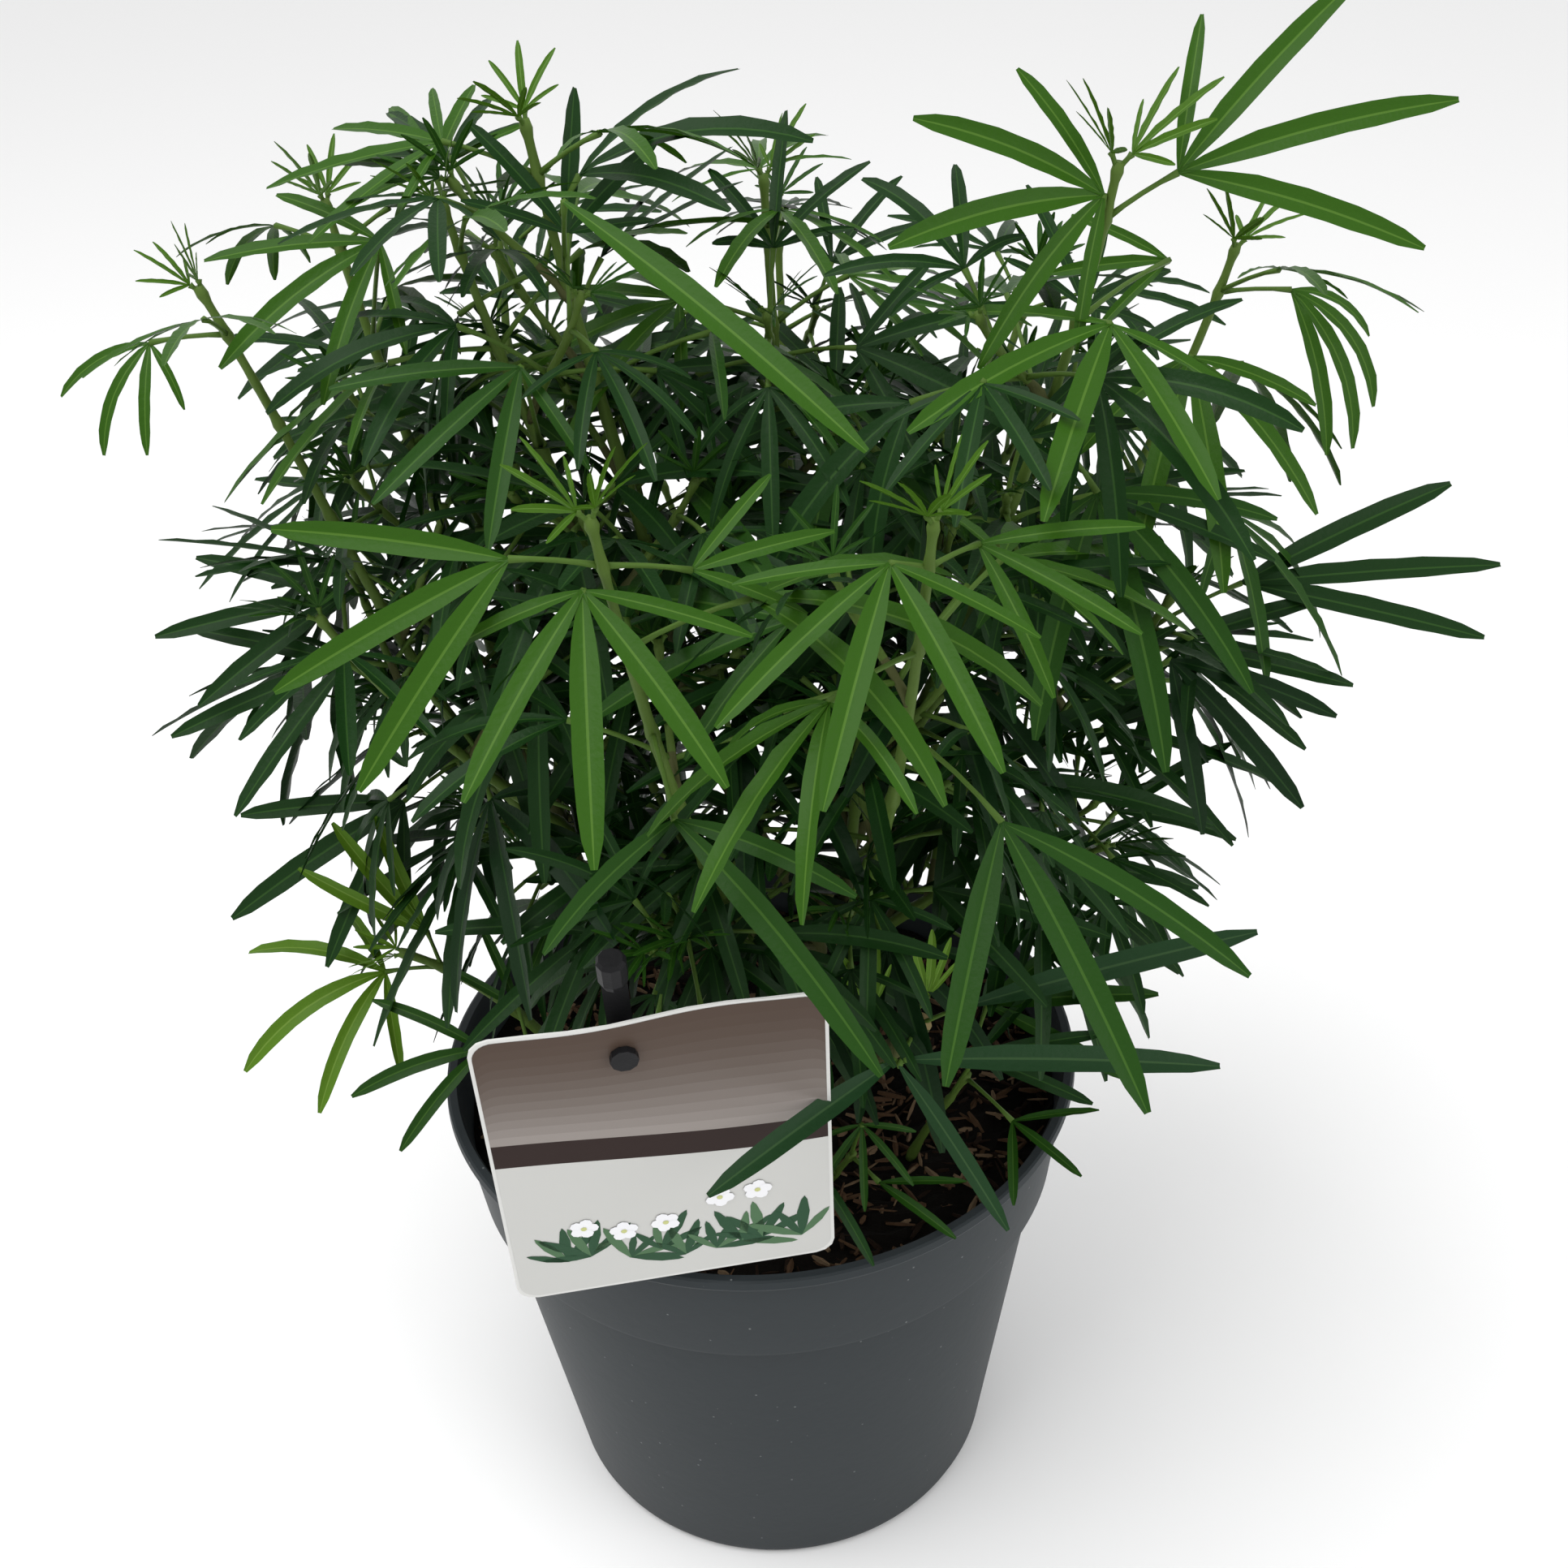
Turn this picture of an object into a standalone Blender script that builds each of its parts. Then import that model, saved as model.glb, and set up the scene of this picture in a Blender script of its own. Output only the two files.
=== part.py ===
"""Bushy shrub with narrow fingered leaves, growing in a round nursery pot with a plant card on a stake.

Metres, +Z up. The origin is the centre of the pot's flat underside and -Y is the side of the card.
"""
import math
import random

import bmesh
import bpy
import numpy as np
from mathutils import Matrix, Vector
from mathutils.bvhtree import BVHTree

MM = 0.001
GAP = 0.3 * MM

# Pot
POT_RIM_RADIUS = 0.0950
POT_RIM_HEIGHT = 0.1550
POT_BEAD_DROP = 0.0035
POT_COLLAR_DROP = 0.0360
POT_COLLAR_RADIUS = 0.0890
POT_BODY_RADIUS = 0.0853
POT_BASE_RADIUS = 0.0690
POT_WALL = 0.0017
POT_FLOOR = 0.0025
POT_EDGE = 0.0040
POT_SIDES = 40
SOIL_HEIGHT = 0.1380
SOIL_CLEAR = 0.0004

# Plant card and its stake
CARD_WIDTH = 0.0830
CARD_HEIGHT = 0.1010
CARD_THICK = 0.0006
CARD_CORNER = 0.0050
CARD_WAVE = 0.0016
CARD_TOP = (-0.0250, -0.1100, 0.2620)
CARD_TURN = (8.0, -0.9, 6.3)
CARD_HOLE = (-0.0065, -0.0115)
CARD_HOLE_RADIUS = 0.0027
STAKE_WIDTH = 0.0060
STAKE_THICK = 0.0022
STAKE_FOOT = (-0.0320, -0.0740, 0.1300)
STAKE_BACK = 0.0050
STAKE_RISE = 0.0150
KNOB_RADIUS = 0.0036
KNOB_LENGTH = 0.0070
PEG_RADIUS = 0.0021
PEG_HEAD_RADIUS = 0.0034
PEG_HEAD_LENGTH = 0.0018

# Trunk and shoots
TRUNK_FOOT = (0.0150, 0.0200, SOIL_HEIGHT + GAP)
TRUNK_TOP = (0.0190, 0.0180, 0.1880)
TRUNK_RADII = (0.0095, 0.0060, 0.0048, 0.0042, 0.0036)
TRUNK_RADII_AT = (0.0, 0.08, 0.25, 0.6, 1.0)
TRUNK_SIDES = 8
BOUGH_SIDES = 5
TWIG_SIDES = 3
BOUGH_RADIUS = 0.0023
BOUGH_TIP_RADIUS = 0.0016
TWIG_TIP_RADIUS = 0.0009
BARE_TWIG_BELOW = 0.0080
SHORTEST_BOUGH = 0.0250
FOOT_ROOM = 0.0030
BOUGH_STEP = 0.0180
PAIR_DROPS = (0.002, 0.013, 0.038, 0.066, 0.095, 0.125)
PAIR_SIZES = (0.32, 0.72, 1.0, 1.05, 1.0, 0.95)
PAIR_YOUTH = (1.0, 0.35, 0.1, 0.0, 0.0, 0.0)

# Leaves
BLADE_BROAD = 0.13
BLADE_THICK = 0.0010
BLADE_MIDDLE = 0.45
HUB_RADIUS = 0.0017
HUB_REACH = 0.0010
PETIOLE_RADIUS = 0.0010
FAN_ORDER = (0, 1, -1, 2, -2)
FAN_LENGTHS = {0: 1.0, 1: 0.9, -1: 0.9, 2: 0.62, -2: 0.62}
SOLID_FINGERS = 3
YOUNG_BROADER = 1.3

UP = np.array([0.0, 0.0, 1.0])
FRONT = np.array([0.0, -1.0, 0.0])

# One row per shoot: name, parent, share of the parent's length where it leaves, tip (mm), pull of the
# foot and of the top towards the sky, pairs of leaves, turn of the first pair (degrees), blade (mm).
SHOOTS = (
    ("left_outer", "trunk", 0.85, (-120, 0, 399), -0.8, 0.6, 2, 10, 50),
    ("left_mid", "trunk", 0.98, (-61, 0, 416), -0.2, 0.7, 5, 20, 58),
    ("top_centre", "trunk", 1.0, (14, 30, 409), 0.0, 0.3, 5, 15, 56),
    ("right_top", "trunk", 0.95, (89, -30, 425), -0.1, 0.9, 4, 0, 70),
    ("right_second", "trunk", 0.80, (133, 30, 385), -0.2, 0.8, 5, 30, 56),
    ("front_left", "trunk", 0.75, (-27, -100, 382), -0.5, 1.0, 4, 0, 66),
    ("front_right", "trunk", 0.90, (41, -100, 377), -0.5, 1.0, 4, 40, 64),
    ("back_mid", "trunk", 0.80, (20, 120, 375), 0.0, 0.8, 5, 0, 58),
    ("top_left", "left_mid", 0.30, (-40, 0, 433), 0.2, 0.4, 5, 75, 58),
    ("left_back", "left_outer", 0.30, (-97, 50, 403), 0.2, 0.6, 4, 60, 50),
    ("left_side", "left_outer", 0.12, (-104, -14, 318), 0.0, 0.5, 4, 20, 60),
    ("left_low", "trunk", 0.55, (-90, 30, 255), 0.1, 0.4, 4, 60, 56),
    ("centre_left", "left_mid", 0.20, (-35, -20, 345), 0.2, 0.7, 4, 45, 58),
    ("back_left", "left_back", 0.20, (-60, 105, 380), 0.2, 0.7, 5, 35, 58),
    ("left_back_low", "left_back", 0.12, (-110, 85, 290), 0.2, 0.5, 4, 10, 60),
    ("back_low", "back_mid", 0.25, (-20, 125, 285), -0.2, 0.6, 4, 70, 60),
    ("back_right", "back_mid", 0.25, (95, 105, 355), 0.0, 0.7, 5, 55, 58),
    ("right_back_low", "right_second", 0.30, (115, 90, 280), 0.0, 0.5, 4, 20, 60),
    ("right_cut", "right_second", 0.40, (82, 50, 343), 0.4, 0.6, 3, 80, 55),
    ("centre_right", "right_top", 0.30, (60, 15, 350), 0.2, 0.7, 4, 5, 58),
    ("right_side", "right_second", 0.15, (115, -5, 305), 0.0, 0.6, 4, 10, 58),
    ("right_low", "trunk", 0.45, (95, 10, 235), 0.2, 0.3, 4, 80, 56),
    ("front_mid", "front_right", 0.20, (30, -45, 300), 0.2, 0.7, 4, 10, 58),
    ("front_low", "front_left", 0.25, (-20, -45, 245), 0.0, 0.6, 4, 50, 52),
)

# Short shoots that rise from the soil: name, foot (mm), tip (mm), pulls of foot and top, pairs, turn,
# blade (mm), radius of the stem (mm).
SOIL_SHOOTS = (
    ("left_shoot", (-50, -4), (-103, 0, 199), 0.9, -0.5, 2, 0, 50, 2.0),
    ("stub", (0, -40), (43, -60, 212), 0.6, 0.0, 3, 0, 60, 2.8),
    ("base_front", (12, -52), (24, -60, 166), 0.5, 0.0, 2, 0, 26, 1.3),
    ("base_right", (42, -36), (58, -42, 176), 0.5, 0.0, 2, 0, 36, 1.4),
    ("base_left", (-46, -30), (-66, -28, 182), 0.5, 0.0, 2, 0, 36, 1.4),
)

# Leaves with a place of their own: shoot, pair, side, hub (mm), heading and rise of the middle finger
# (degrees), lean of the fan towards the front, blade (mm), fingers, degrees between them, droop.
PLACED_LEAVES = (
    ("right_top", 1, 0, (102, -30, 422), 0, 20, 55, 66, 4, 31, 12),
    ("right_top", 1, 1, (86, -30, 418), -160, 5, 60, 52, 5, 34, 20),
    ("right_top", 2, 0, (86, -44, 394), -115, -15, 30, 60, 5, 40, 15),
    ("right_top", 2, 1, (110, 6, 390), 180, 0, 50, 28, 3, 36, 15),
    ("right_second", 2, 0, (114, -6, 370), -80, -40, 30, 57, 5, 34, 25),
    ("right_second", 1, 0, (148, 30, 372), -45, -30, 30, 48, 4, 26, 50),
    ("left_outer", 1, 0, (-134, 0, 386), -145, -30, 40, 30, 4, 40, 40),
    ("left_back", 2, 0, (-78, 10, 404), -150, -15, 40, 48, 5, 36, 20),
    ("front_left", 1, 0, (-44, -100, 374), -175, -20, 50, 59, 3, 34, 8),
    ("front_left", 2, 0, (-30, -100, 366), -90, -35, 20, 56, 5, 36, 15),
    ("front_left", 1, 1, (-8, -90, 364), 10, 10, 45, 30, 3, 36, 10),
    ("front_right", 1, 0, (32, -100, 368), -110, -30, 20, 55, 5, 38, 12),
    ("front_right", 1, 1, (52, -86, 364), -35, -10, 45, 40, 3, 34, 15),
    ("top_left", 2, 0, (-30, -40, 426), -40, -20, 40, 90, 1, 36, 12),
    ("left_mid", 3, 0, (-44, -34, 388), -145, -20, 40, 48, 4, 40, 12),
    ("left_side", 1, 0, (-100, 0, 316), 180, -5, 40, 50, 3, 30, 8),
    ("left_side", 2, 0, (-100, -10, 302), -175, -15, 40, 54, 3, 32, 8),
    ("right_side", 1, 0, (134, 0, 304), 0, 5, 40, 68, 3, 20, 6),
    ("right_side", 2, 0, (112, -16, 296), -5, -10, 40, 52, 3, 30, 10),
    ("right_side", 3, 0, (108, -34, 302), -50, -25, 40, 50, 3, 34, 15),
    ("left_low", 1, 0, (-98, 20, 238), -170, -25, 45, 60, 4, 30, 10),
    ("front_low", 1, 0, (-12, -50, 260), -115, -30, 40, 44, 5, 36, 12),
    ("right_low", 1, 0, (84, -10, 224), -30, -30, 40, 50, 5, 34, 15),
    ("left_shoot", 1, 0, (-108, 0, 192), -155, 10, 30, 52, 5, 40, 45),
    ("left_shoot", 1, 1, (-94, 0, 206), 180, 55, 50, 46, 3, 20, -8),
    ("stub", 0, 0, (34, -90, 224), -55, -30, 20, 46, 1, 40, 10),
    ("stub", 2, 0, (33, -88, 224), -142, -3, 40, 62, 1, 40, 5),
    ("stub", 2, 1, (36, -88, 224), 5, -4, 40, 80, 1, 40, 8),
    ("stub", 0, 1, (54, -60, 216), 5, 10, 40, 80, 1, 30, 5),
    ("stub", 1, 0, (30, -66, 224), 180, 80, 60, 22, 5, 17, -5),
    ("stub", 1, 1, (44, -64, 224), 0, 85, 60, 22, 5, 17, -5),
    ("base_front", 0, 0, (26, -66, 182), -90, -40, 20, 24, 5, 42, 20),
    ("base_front", 0, 1, (30, -70, 164), -45, -5, 30, 27, 2, 40, 10),
    ("base_front", 1, 0, (12, -80, 182), -105, -45, 30, 35, 2, 40, 20),
    ("base_right", 0, 0, (68, -58, 172), -50, 0, 30, 27, 3, 48, 10),
    ("base_right", 0, 1, (64, -34, 194), 0, 5, 40, 50, 3, 34, 10),
    ("base_right", 1, 0, (60, -44, 184), 0, 15, 40, 37, 3, 34, 10),
    ("base_left", 0, 0, (-78, -30, 186), -170, 5, 45, 40, 3, 36, 30),
    ("base_left", 0, 1, (-68, -20, 192), 125, 60, 45, 26, 3, 36, 10),
)

# Colours from the photograph: base colour, roughness, metallic.
LOOKS = {
    "pot_plastic": ((0.058, 0.068, 0.072), 0.55, 0.0),
    "compost": ((0.022, 0.016, 0.012), 0.95, 0.0),
    "card": ((0.42, 0.38, 0.34), 0.45, 0.0),
    "stake_plastic": ((0.012, 0.012, 0.013), 0.45, 0.0),
    "green_bark": ((0.14, 0.19, 0.05), 0.60, 0.0),
    "fresh_leaf": ((0.055, 0.150, 0.022), 0.48, 0.0),
    "dark_leaf": ((0.016, 0.062, 0.020), 0.50, 0.0),
    "young_leaf": ((0.120, 0.230, 0.040), 0.50, 0.0),
}
FRESH_SHOOTS = ("left_outer", "left_mid", "top_centre", "top_left", "right_top", "right_second",
                "front_left", "front_right", "left_back")
YOUNG_SHOOTS = ("left_shoot",)


def unit(v):
    return v / np.linalg.norm(v)


def heading(azimuth, rise):
    """Direction from its compass angle (0 is +X, 90 is +Y) and its rise above the horizon."""
    a = math.radians(azimuth)
    e = math.radians(rise)
    return np.array([math.cos(a) * math.cos(e), math.sin(a) * math.cos(e), math.sin(e)])


def turned(v, toward, angle):
    """v swung towards another direction."""
    side = toward - v * (v @ toward)
    size = np.linalg.norm(side)
    if size < 1e-9:
        return v
    return v * math.cos(angle) + side / size * math.sin(angle)


def spun(v, axis, angle):
    """v turned about an axis."""
    across = np.cross(axis, v) * math.sin(angle)
    return v * math.cos(angle) + across + axis * (axis @ v) * (1 - math.cos(angle))


class Line:
    """A stem's centre line: a cubic from root to tip whose ends are pulled towards the sky."""

    def __init__(self, root, tip, foot_pull, top_pull, steps=28):
        span = np.linalg.norm(tip - root)
        go = unit(tip - root)
        low = root + unit(go + foot_pull * UP) * span * 0.35
        high = tip - unit(go + top_pull * UP) * span * 0.35
        t = np.linspace(0, 1, steps)[:, None]
        self.points = (1 - t) ** 3 * root + 3 * (1 - t) ** 2 * t * low
        self.points = self.points + 3 * (1 - t) * t * t * high + t ** 3 * tip
        steps_long = np.linalg.norm(np.diff(self.points, axis=0), axis=1)
        self.run = np.concatenate(([0.0], np.cumsum(steps_long)))
        self.length = self.run[-1]

    def at(self, metres):
        return np.array([np.interp(metres, self.run, self.points[:, k]) for k in range(3)])

    def way(self, metres):
        ahead = self.at(min(self.length, metres + 0.002))
        return unit(ahead - self.at(max(0.0, metres - 0.002)))


def finger_line(finger, steps):
    """Centre line of a finger of a leaf, which bends towards the ground by its droop in all."""
    pieces = 8
    points = [finger["root"]]
    for i in range(pieces):
        bend = finger["droop"] * (i + 0.5) / pieces
        way = turned(finger["way"], -UP if bend > 0 else UP, abs(bend))
        points.append(points[-1] + way * finger["length"] / pieces)
    points = np.array(points)
    shares = np.linspace(0, pieces, steps + 1)
    return np.array([[np.interp(x, range(pieces + 1), points[:, k]) for k in range(3)] for x in shares])


def fan(hub, axis, normal, blade, count, step, droop, rng, jitter):
    """The fingers of one leaf, spread about its axis."""
    normal = unit(normal - axis * (axis @ normal))
    side = np.cross(normal, axis)
    fingers = []
    for k in FAN_ORDER[:count]:
        angle = math.radians(k * step + rng.uniform(-6, 6) * jitter)
        way = unit(axis * math.cos(angle) + side * math.sin(angle))
        length = blade * FAN_LENGTHS[k] * rng.uniform(0.93, 1.05)
        fingers.append({
            "root": hub,
            "way": way,
            "normal": normal,
            "length": length,
            "droop": droop * rng.uniform(0.7, 1.3),
            "place": k,
            "broad": rng.uniform(0.9, 1.1),
        })
    return fingers


def free_leaf(line, metres, turn, pair, blade, rng):
    """A leaf whose place and spread follow from its pair and the seeded draws."""
    foot = line.at(metres)
    way = line.way(metres)
    across = unit(np.array([1.0, 0.0, 0.0]) - way * way[0])
    out = spun(across, way, turn)
    age = 1 - PAIR_YOUTH[pair]
    spread = math.radians(26 + 40 * age + rng.uniform(-8, 8))
    go = unit(way * math.cos(spread) + out * math.sin(spread))
    petiole = (0.004 + 0.028 * age + rng.uniform(-0.005, 0.005) * age) * blade / 0.060
    middle = foot + go * petiole * 0.55
    bent = turned(go, -UP, math.radians(6 + 14 * age))
    hub = middle + bent * petiole * 0.45
    size = blade * PAIR_SIZES[pair] * rng.uniform(0.86, 1.08)
    count = 5 if pair < 2 or rng.random() < 0.6 else rng.choice((3, 4))
    axis = turned(bent, -UP, math.radians(rng.uniform(8, 34) * age))
    lifted = UP * 0.75 + way * 0.6
    normal = spun(unit(lifted - axis * (axis @ lifted)), axis, math.radians(rng.uniform(-28, 28)))
    droop = math.radians(rng.uniform(10, 50) * (0.3 + 0.7 * age))
    step = 30 if pair == 0 else 36
    fingers = fan(hub, axis, normal, size, count, step, droop, rng, 1.0)
    return {"foot": foot, "middle": middle, "hub": hub, "pair": pair, "fingers": fingers, "placed": False,
            "metres": metres}


def placed_leaf(line, metres, row, pair, rng):
    """A leaf with a place of its own."""
    hub_mm, azimuth, rise, lean, blade_mm, count, step, droop = row
    foot = line.at(metres)
    hub = np.array(hub_mm) * MM
    lean = math.radians(lean)
    normal = UP * math.cos(lean) + FRONT * math.sin(lean)
    middle = (foot + hub) / 2 + UP * np.linalg.norm(hub - foot) * 0.06
    fingers = fan(hub, heading(azimuth, rise), normal, blade_mm * MM, count, step,
                  math.radians(droop), rng, 0.5)
    return {"foot": foot, "middle": middle, "hub": hub, "pair": pair, "fingers": fingers, "placed": True,
            "metres": metres}


def shoot_leaves(name, line, pairs, turn, blade):
    """Leaves in crossed pairs down from the tip of a shoot."""
    own = {(row[1], row[2]): row[3:] for row in PLACED_LEAVES if row[0] == name}
    leaves = []
    for pair in range(pairs):
        metres = max(0.004, line.length - PAIR_DROPS[pair])
        for side in (0, 1):
            rng = random.Random(f"{name}-{pair}-{side}")
            if (pair, side) in own:
                leaves.append(placed_leaf(line, metres, own[(pair, side)], pair, rng))
                continue
            if name in SOIL_NAMES and pair > 0:
                continue
            angle = math.radians(turn + 90 * pair + 180 * side + rng.uniform(-14, 14))
            leaves.append(free_leaf(line, metres, angle, pair, blade, rng))
    return leaves


def grow():
    """Centre line and leaves of every shoot."""
    lines = {"trunk": Line(np.array(TRUNK_FOOT), np.array(TRUNK_TOP), 0.3, 0.3)}
    leaves = {}
    for name, parent, share, tip, foot_pull, top_pull, pairs, turn, blade in SHOOTS:
        root = lines[parent].at(share * lines[parent].length)
        lines[name] = Line(root, np.array(tip) * MM, foot_pull, top_pull)
        leaves[name] = shoot_leaves(name, lines[name], pairs, turn, blade * MM)
    for name, foot, tip, foot_pull, top_pull, pairs, turn, blade, _ in SOIL_SHOOTS:
        root = np.array([foot[0] * MM, foot[1] * MM, SOIL_HEIGHT + GAP])
        lines[name] = Line(root, np.array(tip) * MM, foot_pull, top_pull)
        leaves[name] = shoot_leaves(name, lines[name], pairs, turn, blade * MM)
    return lines, leaves


SOIL_NAMES = tuple(row[0] for row in SOIL_SHOOTS)


def tube(points, radii, sides, grown=0.0):
    """Closed tube along points."""
    verts = []
    faces = []
    points = [np.array(p) for p in points]
    ways = [unit(points[min(i + 1, len(points) - 1)] - points[max(i - 1, 0)]) for i in range(len(points))]
    across = np.cross(ways[0], np.array([0.31, 0.92, 0.23]))
    for i, point in enumerate(points):
        across = unit(across - ways[i] * (across @ ways[i]))
        over = np.cross(ways[i], across)
        for k in range(sides):
            angle = 2 * math.pi * k / sides
            offset = across * math.cos(angle) + over * math.sin(angle)
            verts.append(point + offset * (radii[i] + grown))
    for i in range(len(points) - 1):
        for k in range(sides):
            a = i * sides + k
            b = i * sides + (k + 1) % sides
            faces.append((a, b, b + sides, a + sides))
    faces.append(tuple(reversed(range(sides))))
    last = (len(points) - 1) * sides
    faces.append(tuple(range(last, last + sides)))
    return verts, faces


def blade_solid(finger, grown=0.0):
    """A finger as a slim closed body of eight faces."""
    line = finger_line(finger, 20)
    middle = line[int(round(20 * BLADE_MIDDLE))]
    chord = unit(line[-1] - line[0])
    side = unit(np.cross(finger["normal"], chord))
    over = np.cross(chord, side)
    half = finger["length"] * BLADE_BROAD * finger["broad"] / 2 + grown
    thick = BLADE_THICK / 2 + grown
    root = line[0] + finger["way"] * (0.0003 - grown)
    tip = line[-1] + chord * grown
    verts = [root, middle + side * half, middle + over * thick, middle - side * half,
             middle - over * thick, tip]
    faces = []
    for k in range(4):
        a = 1 + k
        b = 1 + (k + 1) % 4
        faces.append((0, b, a))
        faces.append((5, a, b))
    return verts, faces


def tree_of(pieces):
    """Search tree over several closed pieces."""
    verts = []
    faces = []
    for piece_verts, piece_faces in pieces:
        base = len(verts)
        verts.extend(Vector(v) for v in piece_verts)
        faces.extend(tuple(base + i for i in face) for face in piece_faces)
    return BVHTree.FromPolygons(verts, faces)


def touches(piece, obstacles):
    """Whether a piece meets any obstacle."""
    tree = tree_of([piece])
    return any(tree.overlap(obstacle) for obstacle in obstacles)


def room_at(line, metres, radius, obstacles):
    """Whether a stem of this radius stands free of every obstacle at this point."""
    centre = line.at(metres)
    way = line.way(metres)
    across = unit(np.cross(way, np.array([0.31, 0.92, 0.23])))
    over = np.cross(way, across)
    probes = [centre]
    for k in range(8):
        angle = k * math.pi / 4
        probes.append(centre + (across * math.cos(angle) + over * math.sin(angle)) * radius)
    for obstacle in obstacles:
        for probe in probes:
            point, normal, _, distance = obstacle.find_nearest(Vector(probe))
            if distance < GAP or (Vector(probe) - point).dot(normal) < 0:
                return False
    return True


def free_start(line, radius, obstacles):
    """First point of a stem from which it stays clear of the limbs it leaves."""
    start = 0.0
    probe = 0.0
    while probe < min(0.045, line.length - 0.02):
        if not room_at(line, probe, radius, obstacles):
            start = probe + 0.0005
        probe += 0.0005
    return start


def stem_piece(line, stations, radii, sides):
    """Tube along a centre line through these stations."""
    widths = np.interp(stations, (stations[0], stations[-1]), radii)
    return tube([line.at(s) for s in stations], widths, sides)


def even_stations(start, end, step):
    """Stations about one step apart."""
    return np.linspace(start, end, max(2, int(round((end - start) / step)) + 1))


def twig_stations(line, start, pairs):
    """Stations at the foot of every pair of leaves, so that each stalk is rooted in the twig."""
    feet = [line.length - drop for drop in PAIR_DROPS[:pairs]]
    inner = sorted(foot for foot in feet if foot > start + FOOT_ROOM)
    return list(even_stations(start, inner[0], BOUGH_STEP)) + inner[1:] + [line.length]


def turned_solid(profile, sides):
    """Closed body of revolution about +Z from (radius, height) pairs."""
    verts = []
    rings = []
    for radius, height in profile:
        if radius == 0.0:
            rings.append([len(verts)])
            verts.append(np.array([0.0, 0.0, height]))
            continue
        rings.append(list(range(len(verts), len(verts) + sides)))
        for k in range(sides):
            angle = 2 * math.pi * k / sides
            verts.append(np.array([radius * math.cos(angle), radius * math.sin(angle), height]))
    faces = []
    for low, high in zip(rings, rings[1:]):
        for k in range(sides):
            n = (k + 1) % sides
            if len(low) == 1:
                faces.append((low[0], high[n], high[k]))
            elif len(high) == 1:
                faces.append((low[k], low[n], high[0]))
            else:
                faces.append((low[k], low[n], high[n], high[k]))
    return verts, faces


def pot_outside():
    """Outer profile of the pot from the middle of its foot to its rim."""
    collar = POT_RIM_HEIGHT - POT_COLLAR_DROP
    bead = POT_RIM_HEIGHT - POT_BEAD_DROP
    return [
        (0.0, 0.0),
        (POT_BASE_RADIUS - POT_EDGE, 0.0),
        (POT_BASE_RADIUS - 0.3 * POT_EDGE, 0.25 * POT_EDGE),
        (POT_BASE_RADIUS, POT_EDGE),
        (POT_BODY_RADIUS, collar - 0.0015),
        (POT_COLLAR_RADIUS - 0.0004, collar),
        (POT_COLLAR_RADIUS, collar + 0.0012),
        (POT_RIM_RADIUS - 0.0024, bead - 0.0006),
        (POT_RIM_RADIUS - 0.0005, bead),
        (POT_RIM_RADIUS, bead + 0.0010),
        (POT_RIM_RADIUS - 0.0003, POT_RIM_HEIGHT - 0.0004),
        (POT_RIM_RADIUS - 0.0010, POT_RIM_HEIGHT),
    ]


def pot_inside():
    """Inner profile of the pot from its rim to the middle of its floor."""
    collar = POT_RIM_HEIGHT - POT_COLLAR_DROP
    return [
        (POT_RIM_RADIUS - POT_WALL - 0.0014, POT_RIM_HEIGHT),
        (POT_RIM_RADIUS - POT_WALL - 0.0024, POT_RIM_HEIGHT - 0.0020),
        (POT_COLLAR_RADIUS - POT_WALL, collar + 0.0025),
        (POT_BODY_RADIUS - POT_WALL, collar),
        (POT_BASE_RADIUS - POT_WALL, POT_EDGE + 0.0010),
        (POT_BASE_RADIUS - POT_WALL - POT_EDGE, POT_FLOOR),
        (0.0, POT_FLOOR),
    ]


def soil_profile():
    """Compost that fills the pot up to the soil line, a hair clear of the walls."""
    inside = pot_inside()
    top, low = inside[1], inside[2]
    share = (SOIL_HEIGHT - low[1]) / (top[1] - low[1])
    brim = low[0] + share * (top[0] - low[0]) - SOIL_CLEAR
    profile = [(0.0, POT_FLOOR + SOIL_CLEAR)]
    for radius, height in reversed(inside[2:6]):
        lift = SOIL_CLEAR if height <= POT_EDGE + 0.0010 else 0.0
        profile.append((radius - SOIL_CLEAR, height + lift))
    return profile + [(brim, SOIL_HEIGHT), (0.0, SOIL_HEIGHT)]


def card_frame():
    """Placement of the card: its own +Z is up the card and its own -Y is its printed side."""
    tilt, roll, yaw = (math.radians(a) for a in CARD_TURN)
    turn = Matrix.Rotation(yaw, 4, "Z") @ Matrix.Rotation(roll, 4, "Y") @ Matrix.Rotation(tilt, 4, "X")
    return Matrix.Translation(CARD_TOP) @ turn


def card_outline():
    """Outline of the card with rounded corners and a slightly wavy top edge."""
    half = CARD_WIDTH / 2
    corners = ((half, 0.0, 0.0), (-half, 0.0, 90.0), (-half, -CARD_HEIGHT, 180.0),
               (half, -CARD_HEIGHT, 270.0))
    outline = []
    for x, z, first in corners:
        middle_x = x - math.copysign(CARD_CORNER, x)
        middle_z = z - CARD_CORNER if z == 0.0 else z + CARD_CORNER
        for k in range(4):
            angle = math.radians(first + 30 * k)
            outline.append((middle_x + CARD_CORNER * math.cos(angle),
                            middle_z + CARD_CORNER * math.sin(angle)))
        if z == 0.0 and x > 0:
            for k in range(1, 8):
                share = k / 8
                wave = CARD_WAVE * math.sin(2 * math.pi * share) * math.sin(math.pi * share)
                outline.append((half - CARD_CORNER - share * (CARD_WIDTH - 2 * CARD_CORNER), wave))
    return outline


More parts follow.
